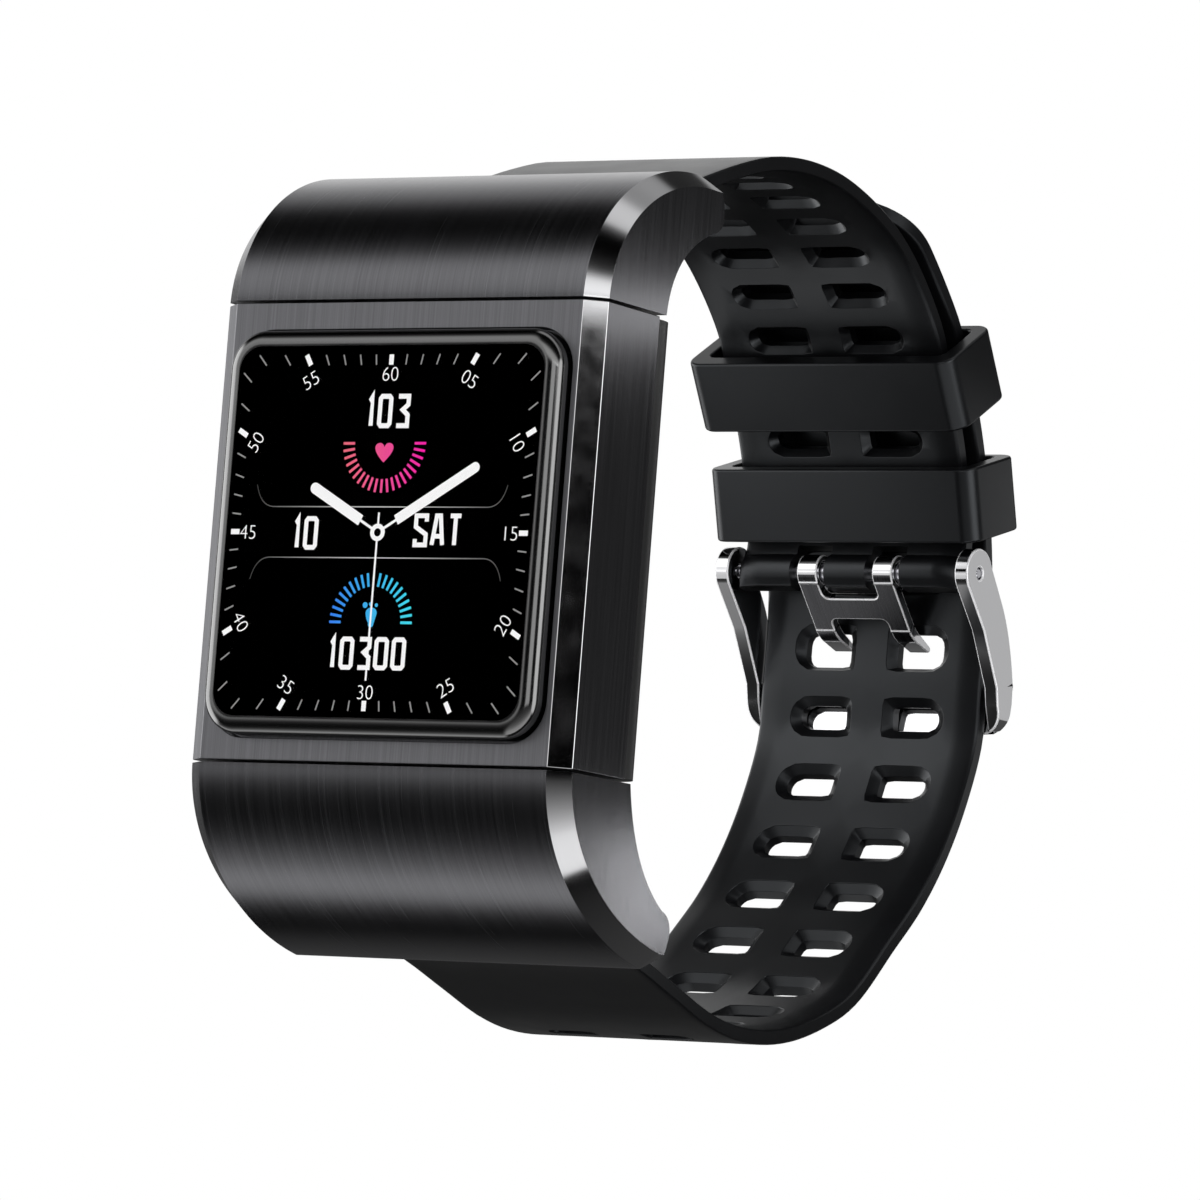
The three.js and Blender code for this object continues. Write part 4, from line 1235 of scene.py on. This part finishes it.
def slot_outline(middle, sizes, grow):
    """4 * CELL points round a slot, with a corner's middle at the start of each quarter."""
    x0, x1, below, above, r0, r1 = sizes
    x0, x1, low, high = x0 - grow, x1 + grow, middle - below - grow, middle + above + grow
    r0, r1 = r0 + grow, min(r1 + grow, (high - low) / 2)
    corners = [((x1 - r1, low + r1), r1), ((x1 - r1, high - r1), r1), ((x0 + r0, high - r0), r0),
               ((x0 + r0, low + r0), r0)]
    points = []
    for i, (near, far) in enumerate(zip(corners, corners[1:] + corners[:1])):
        turn = 90 * i
        quarter = arc(*near, turn - 45, turn, 6) + arc(*far, turn, turn + 45, 6)
        points += evenly(quarter, CELL)[:-1]
    return points


def between(low, high, step):
    count = max(int(math.ceil((high - low) / step)), 1)
    return [low + (high - low) * i / count for i in range(count + 1)]


def bulb(radius, steps=9):
    """Distances from a barrel's axis for its stations, from its tip to where it meets the strap."""
    last = math.asin(STRAP_THICKNESS / 2 / radius)
    return [radius * math.cos(math.pi + (last - math.pi) * i / steps) for i in range(steps + 1)]


def barrel_thickness(offset, radius):
    """Half of a strap's thickness at an offset from the axis of the barrel that ends it."""
    if offset <= -radius:
        return 0.0
    return max(STRAP_THICKNESS / 2, math.sqrt(max(radius ** 2 - offset ** 2, 0)))


def bar_bore(at):
    """The cut for the spring bar that holds a strap half to the case."""
    return "DIFFERENCE", rod("x", at, BAR_BORE_RADIUS, -12, 12, sides=32)


# The notches for the prongs: their inner and outer x, and how far before the pin they start.
NOTCH = (1.95, 5.25, 2.1)
SHORT_SLOTS = {"pitch": 4.5, "rows": 9, "from_pin": 11.3}


def short_strap():
    path = StrapPath(SHORT_POINTS)
    length = path.length

    def half_thickness(distance):
        if distance < length / 2:
            return barrel_thickness(distance, BAR_BARREL_RADIUS)
        return barrel_thickness(length - distance, PIN_BARREL_RADIUS)

    strap = StrapMesh(path, -1, half_thickness)
    pitch = SHORT_SLOTS["pitch"]
    nearest = length - SHORT_SLOTS["from_pin"]
    middles = [nearest - row * pitch for row in range(SHORT_SLOTS["rows"])][::-1]
    start = bulb(BAR_BARREL_RADIUS)
    strap.plain(start + between(start[-1], middles[0] - pitch / 2, 1.6)[1:])
    mouth = (SLOT_INNER, SLOT_OUTER, 1.3, 1.3, 0.35, 1.3)
    hole = (2.1, 6.75, 0.75, 0.75, 0.25, 0.75)
    for middle in middles:
        strap.slot_cell(middle - pitch / 2, middle + pitch / 2, middle, mouth, hole)
    inner, outer, depth = NOTCH
    notch_start = length - depth
    strap.plain(between(middles[-1] + pitch / 2, notch_start, 1.4))
    end = [length - offset for offset in bulb(PIN_BARREL_RADIUS)][::-1]
    rest = [notch_start] + end
    outside = [x for x in COLUMNS if x <= inner], [x for x in COLUMNS if x >= outer]
    for columns in outside:
        strap.plain(rest, columns, edges=columns is outside[1])
    strap.end_wall(notch_start, [x for x in COLUMNS if inner <= x <= outer])
    strap.side_wall(inner, rest)
    strap.side_wall(outer, rest)
    made = boolean(strap.closed(), bar_bore(UPPER_BAR))
    finish_piece("strap_short_silicone", made, (silicone,), "watch", ["strap_short"],
                 smooth=32, weighted=True)


# Rows are counted from the one that holds the prongs, which is longer towards the case by extra.
LONG_SLOTS = {"pitch": 6.05, "first": -9, "last": 2, "engaged_z": 0.15, "extra": 0.4}
TIP_NARROWING = 0.92
TIP_SOFTENING = 0.35


def long_strap():
    path = StrapPath(LONG_POINTS)
    length = path.length
    engaged = length / 2
    while path.at(engaged)[0].y < LONG_SLOTS["engaged_z"]:
        engaged += 0.05

    def half_thickness(distance):
        if distance < length / 2:
            return barrel_thickness(distance, BAR_BARREL_RADIUS)
        near_end = min(max(1 - (length - distance) / TIP_SOFTENING, 0), 1)
        return STRAP_THICKNESS / 2 - 0.3 * (1 - math.sqrt(1 - near_end ** 2))

    def narrowing(distance):
        reach = min(max(TIP_RADIUS - (length - distance), 0), TIP_RADIUS)
        inset = TIP_RADIUS - math.sqrt(TIP_RADIUS ** 2 - reach ** 2)
        return 1 - TIP_NARROWING * inset / HALF_AT_BUCKLE

    strap = StrapMesh(path, 1, half_thickness, narrowing)
    pitch = LONG_SLOTS["pitch"]
    middles = [engaged + row * pitch for row in range(LONG_SLOTS["first"], LONG_SLOTS["last"] + 1)]
    start = bulb(BAR_BARREL_RADIUS)
    strap.plain(start + between(start[-1], middles[0] - pitch / 2, 1.6)[1:])
    for row, middle in enumerate(middles, LONG_SLOTS["first"]):
        below = 1.75 + (LONG_SLOTS["extra"] if row == 0 else 0)
        mouth = (SLOT_INNER, SLOT_OUTER, below, 1.75, 0.5, 1.75)
        hole = (2.25, 6.6, below - 0.3 if row == 0 else 1.0, 1.0, 0.35, 1.0)
        strap.slot_cell(middle - pitch / 2, middle + pitch / 2, middle, mouth, hole)
    body_end = length - TIP_RADIUS
    strap.plain(between(middles[-1] + pitch / 2, body_end, 1.4))
    rounding = [length - TIP_RADIUS * math.cos(math.radians(90 * i / 20)) for i in range(17)]
    rounding += [length - gap for gap in (1.3, 0.8, 0.5, 0.35, 0.22, 0.12, 0.05, 0)]
    tip = [body_end] + sorted(s for s in set(rounding) if s > body_end)
    strap.plain(tip)
    strap.end_wall(length, COLUMNS)
    for side in SIGNS:
        strap.face([(edge_x(side, u), length, n) for u, n in EDGE_SECTION])
    made = boolean(strap.closed(), bar_bore(LOWER_BAR))
    finish_piece("strap_long_silicone", made, (silicone,), "watch", ["strap_long"],
                 smooth=32, weighted=True)


KEEPER = {"half": 12.65, "inner_half": 11.2, "radii": (37.35, 45.3), "bore": (38.95, 44.35),
          "length": 6.1}


def keeper(name, degrees):
    """A rectangular loop round both straps, built square and turned to its place on the arc."""
    made = bmesh.new()
    low, high = KEEPER["radii"]
    bore_low, bore_high = KEEPER["bore"]
    outer = rounded_rectangle(KEEPER["half"], (high - low) / 2, 1.5, (0, (low + high) / 2), 12)
    inner = rounded_rectangle(KEEPER["inner_half"], (bore_high - bore_low) / 2, 0.8,
                              (0, (bore_low + bore_high) / 2), 12)
    half = KEEPER["length"] / 2
    rings = [[made.verts.new((x, radial, z)) for x, radial in outline]
             for outline, z in ((outer, -half), (outer, half), (inner, half), (inner, -half))]
    for near, far in zip(rings, rings[1:] + rings[:1]):
        bridge(made, near, far)
    turn = Matrix.Translation((0, *LOOP_CENTRE)) @ Matrix.Rotation(math.radians(degrees), 4, "X")
    finish_piece(f"{name}_silicone", made, (silicone,), name, [name], smooth=40,
                 bevel=(0.22, 3), turn=turn)


# ---------------------------------------------------------------- buckle and spring bars

ARM = (10.85, 12.1)
ARM_HEAD_RADIUS = 2.05


def buckle_frame():
    """Two arms with round heads on the pin, joined by a bar at their far ends."""
    arm = arc(PIN, ARM_HEAD_RADIUS, 25, 215, 40)
    arm += [(56.2, 1.2), (58.9, -3.2), (59.2, -4.6), (60.1, -6.9), (61.2, -6.5), (61.55, -4.2),
            (61.5, -2.7)]
    arm += quadratic(arm[-1], (60.6, 1.2), (58.9, 3.6), 16)
    far_bar = [(60.5, -2.9), (61.5, -2.7), (61.55, -4.2), (61.2, -6.5), (60.1, -6.9), (60.35, -5.0)]
    steps = [("UNION", prism_x(arm, *span_on(side, *ARM))) for side in SIGNS]
    steps.append(("INTERSECT", prism_y(rounded_rectangle(ARM[1], 20, 1.9, (0, 13.1), 16), 50, 65)))
    steps += [("DIFFERENCE", rod("x", PIN, 0.53, *span_on(side, 10, 13), sides=32))
              for side in SIGNS]
    made = boolean(prism_x(far_bar, -ARM[1], ARM[1]), *steps)
    # the frame's bevels carry the painted highlight surface, a bright rim painted onto the steel
    # edges
    finish_piece("buckle_frame_polished", made, (polished_steel, painted_highlight_edge), "buckle_frame",
                 ["buckle_frame"], smooth=32, bevel=(0.14, 2), edge_surface=1)


PRONG = (3.6 - 0.93, 3.6 + 0.93)
PRONG_PLATE = (Vector((53.75, 4.68)), Vector((57.1, 1.1)))
PRONG_THICKNESS = 0.9
CROSSBAR = (1.62, 3.68)
CROSSBAR_FILLET = 0.6


def buckle_tongue():
    """Two brushed prongs with a crossbar, hooked round the pin and bent into the slots."""
    start, bend = PRONG_PLATE
    along = (bend - start).normalized()
    out = Vector((-along.y, along.x))

    def plate(point, depth):
        return (point[0], *(start + along * point[1] + out * depth))

    inner, outer = PRONG
    low, high = CROSSBAR
    fillet = CROSSBAR_FILLET
    reach = (bend - start).length
    outline = [(outer, 0.0), (outer, reach), (inner, reach)]
    outline += arc((inner - fillet, high + fillet), fillet, 0, -90, 8)
    outline += [(-x, s) for x, s in outline[:2:-1]] + [(-x, s) for x, s in outline[2::-1]]
    top = [(inner, 0.0)] + arc((inner - fillet, low - fillet), fillet, 0, 90, 8)
    outline += [(-x, s) for x, s in top] + top[::-1]
    tip = [(57.05, 1.15)] + quadratic((57.05, 1.15), (57.4, 0.75), (58.2, 0.42), 5) + [(60.3, -0.2)]
    tip += arc((60.33, 0.06), 0.26, -95, 65, 8) + [(58.6, 1.15)]
    tip += quadratic(tip[-1], (57.9, 1.5), (57.75, 1.83), 4) + [(57.3, 2.0)]
    steps = []
    for side in SIGNS:
        span = span_on(side, *PRONG)
        steps.append(("UNION", prism_x(tip, *span)))
        steps.append(("UNION", rod("x", PIN, 1.45, *span, sides=48)))
    steps.append(("DIFFERENCE", rod("x", PIN, 0.92, -6, 6, sides=48)))
    made = boolean(extruded(outline, plate, 0, PRONG_THICKNESS), *steps)

    def brushed_faces(face):
        return 1 if abs(face.normal.yz.dot(out)) > 0.9 else 0

    # the tongue's bevels carry the painted highlight surface, a bright rim painted onto the steel
    # edges
    finish_piece("buckle_tongue_brushed", made, (polished_steel, brushed_steel, painted_highlight_edge),
                 "buckle_tongue", ["buckle_tongue"], smooth=32, bevel=(0.12, 2),
                 choose=brushed_faces, edge_surface=2)


def spring_bar(place, at, tube_radius, tube_half, tip_radius, tip_end):
    """A turned tube with a narrower middle bore, and a tip with softened ends at each side."""
    name = f"{place}_bar"
    bore = tip_radius + 0.12
    edge = 0.1
    half, narrow = tube_half, bore * 0.6
    profile = [(bore, -half), (tube_radius - edge, -half), (tube_radius, -half + edge),
               (tube_radius, half - edge), (tube_radius - edge, half), (bore, half),
               (bore, 5.0), (narrow, 4.7), (narrow, -4.7), (bore, -5.0), (bore, -half)]
    finish_piece(f"{name}_tube_turned", lathe("x", at, profile, 48), (satin_steel,), "watch",
                 [f"{name}_tube"])
    for sign, side in SIDES:
        low, high = span_on(sign, 6.6, tip_end)
        profile = [(0, low), (tip_radius - 0.12, low), (tip_radius, low + 0.15),
                   (tip_radius, high - 0.15), (tip_radius - 0.12, high), (0, high)]
        finish_piece(f"{name}_tip_{side}_turned", lathe("x", at, profile, 32), (satin_steel,),
                     f"{place}_tip_{side}", [f"{name}_tip_{side}"])


# ---------------------------------------------------------------- everything together

INNER_SURFACES = {
    "display_panel": display_black,
    "display_gasket": gasket_foam,
    "case_back_seal": gasket_foam,
    "main_board": board_green,
    "sensor_board": board_green,
    "shield_can": shield_tin,
    "battery": battery_foil,
    "vibration_motor_can": shield_tin,
    "vibration_motor_base": shield_tin,
    "vibration_motor_rotor": gold,
    **{f"{level}_cover_screw_{side}": screw_steel
       for level in ("upper", "lower") for _, side in SIDES},
}

# Each panel's name, the point that mirrors it, the direction in which that point sees it, its
# distance, size and radiance, and how far it is moved.
PANELS = (
    ("seam_panel", (16.5, -11.7, 17.0), (0.677, -0.722, 0.136), 80, (30, 6), 1.7, (0, 2.5)),
    ("upper_side_panel", (17.3, -7.0, 17.3), (0.536, 0.833, 0.136), 50, (40, 3.5), 2.5, (0, 0)),
    ("lower_side_panel", (17.3, -0.5, -26.0), (0.536, 0.841, 0.07), 50, (5, 10), 6.0, (0, 0)),
    ("strap_panel", (0, 58.5, -6.0), (-0.544, -0.7, 0.46), 45, (26, 30), 1.1, (0, 0)),
    ("keeper_panel", (0, 51.8, 10.8), (-0.544, -0.741, -0.391), 60, (44, 26), 0.7, (0, 0)),
    ("buckle_panel", (12.1, 58.0, 0.0), (0.516, 0.851, 0.1), 40, (26, 40), 0.48, (0, 0)),
)


def dress_inner_nodes():
    for node, surface in INNER_SURFACES.items():
        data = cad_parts[node].data
        data.materials.clear()
        data.materials.append(surface)


add_camera()
add_world()
add_floor(pale_floor)
for panel in PANELS:
    add_panel(*panel)

case_middle()
end_cover(1)
end_cover(-1)
cover_glass()
dial()
case_back()
sensor_window()
back_hardware()
short_strap()
long_strap()
keeper("keeper_upper", 31.6)
keeper("keeper_lower", 17.4)
buckle_frame()
buckle_tongue()
spring_bar("upper", UPPER_BAR, 0.9, 10.6, 0.4, 12.4)
spring_bar("lower", LOWER_BAR, 0.9, 10.6, 0.4, 12.4)
spring_bar("buckle", PIN, 0.8, 10.2, 0.45, 12.0)
dress_inner_nodes()

bpy.context.scene.view_settings.view_transform = "Standard"
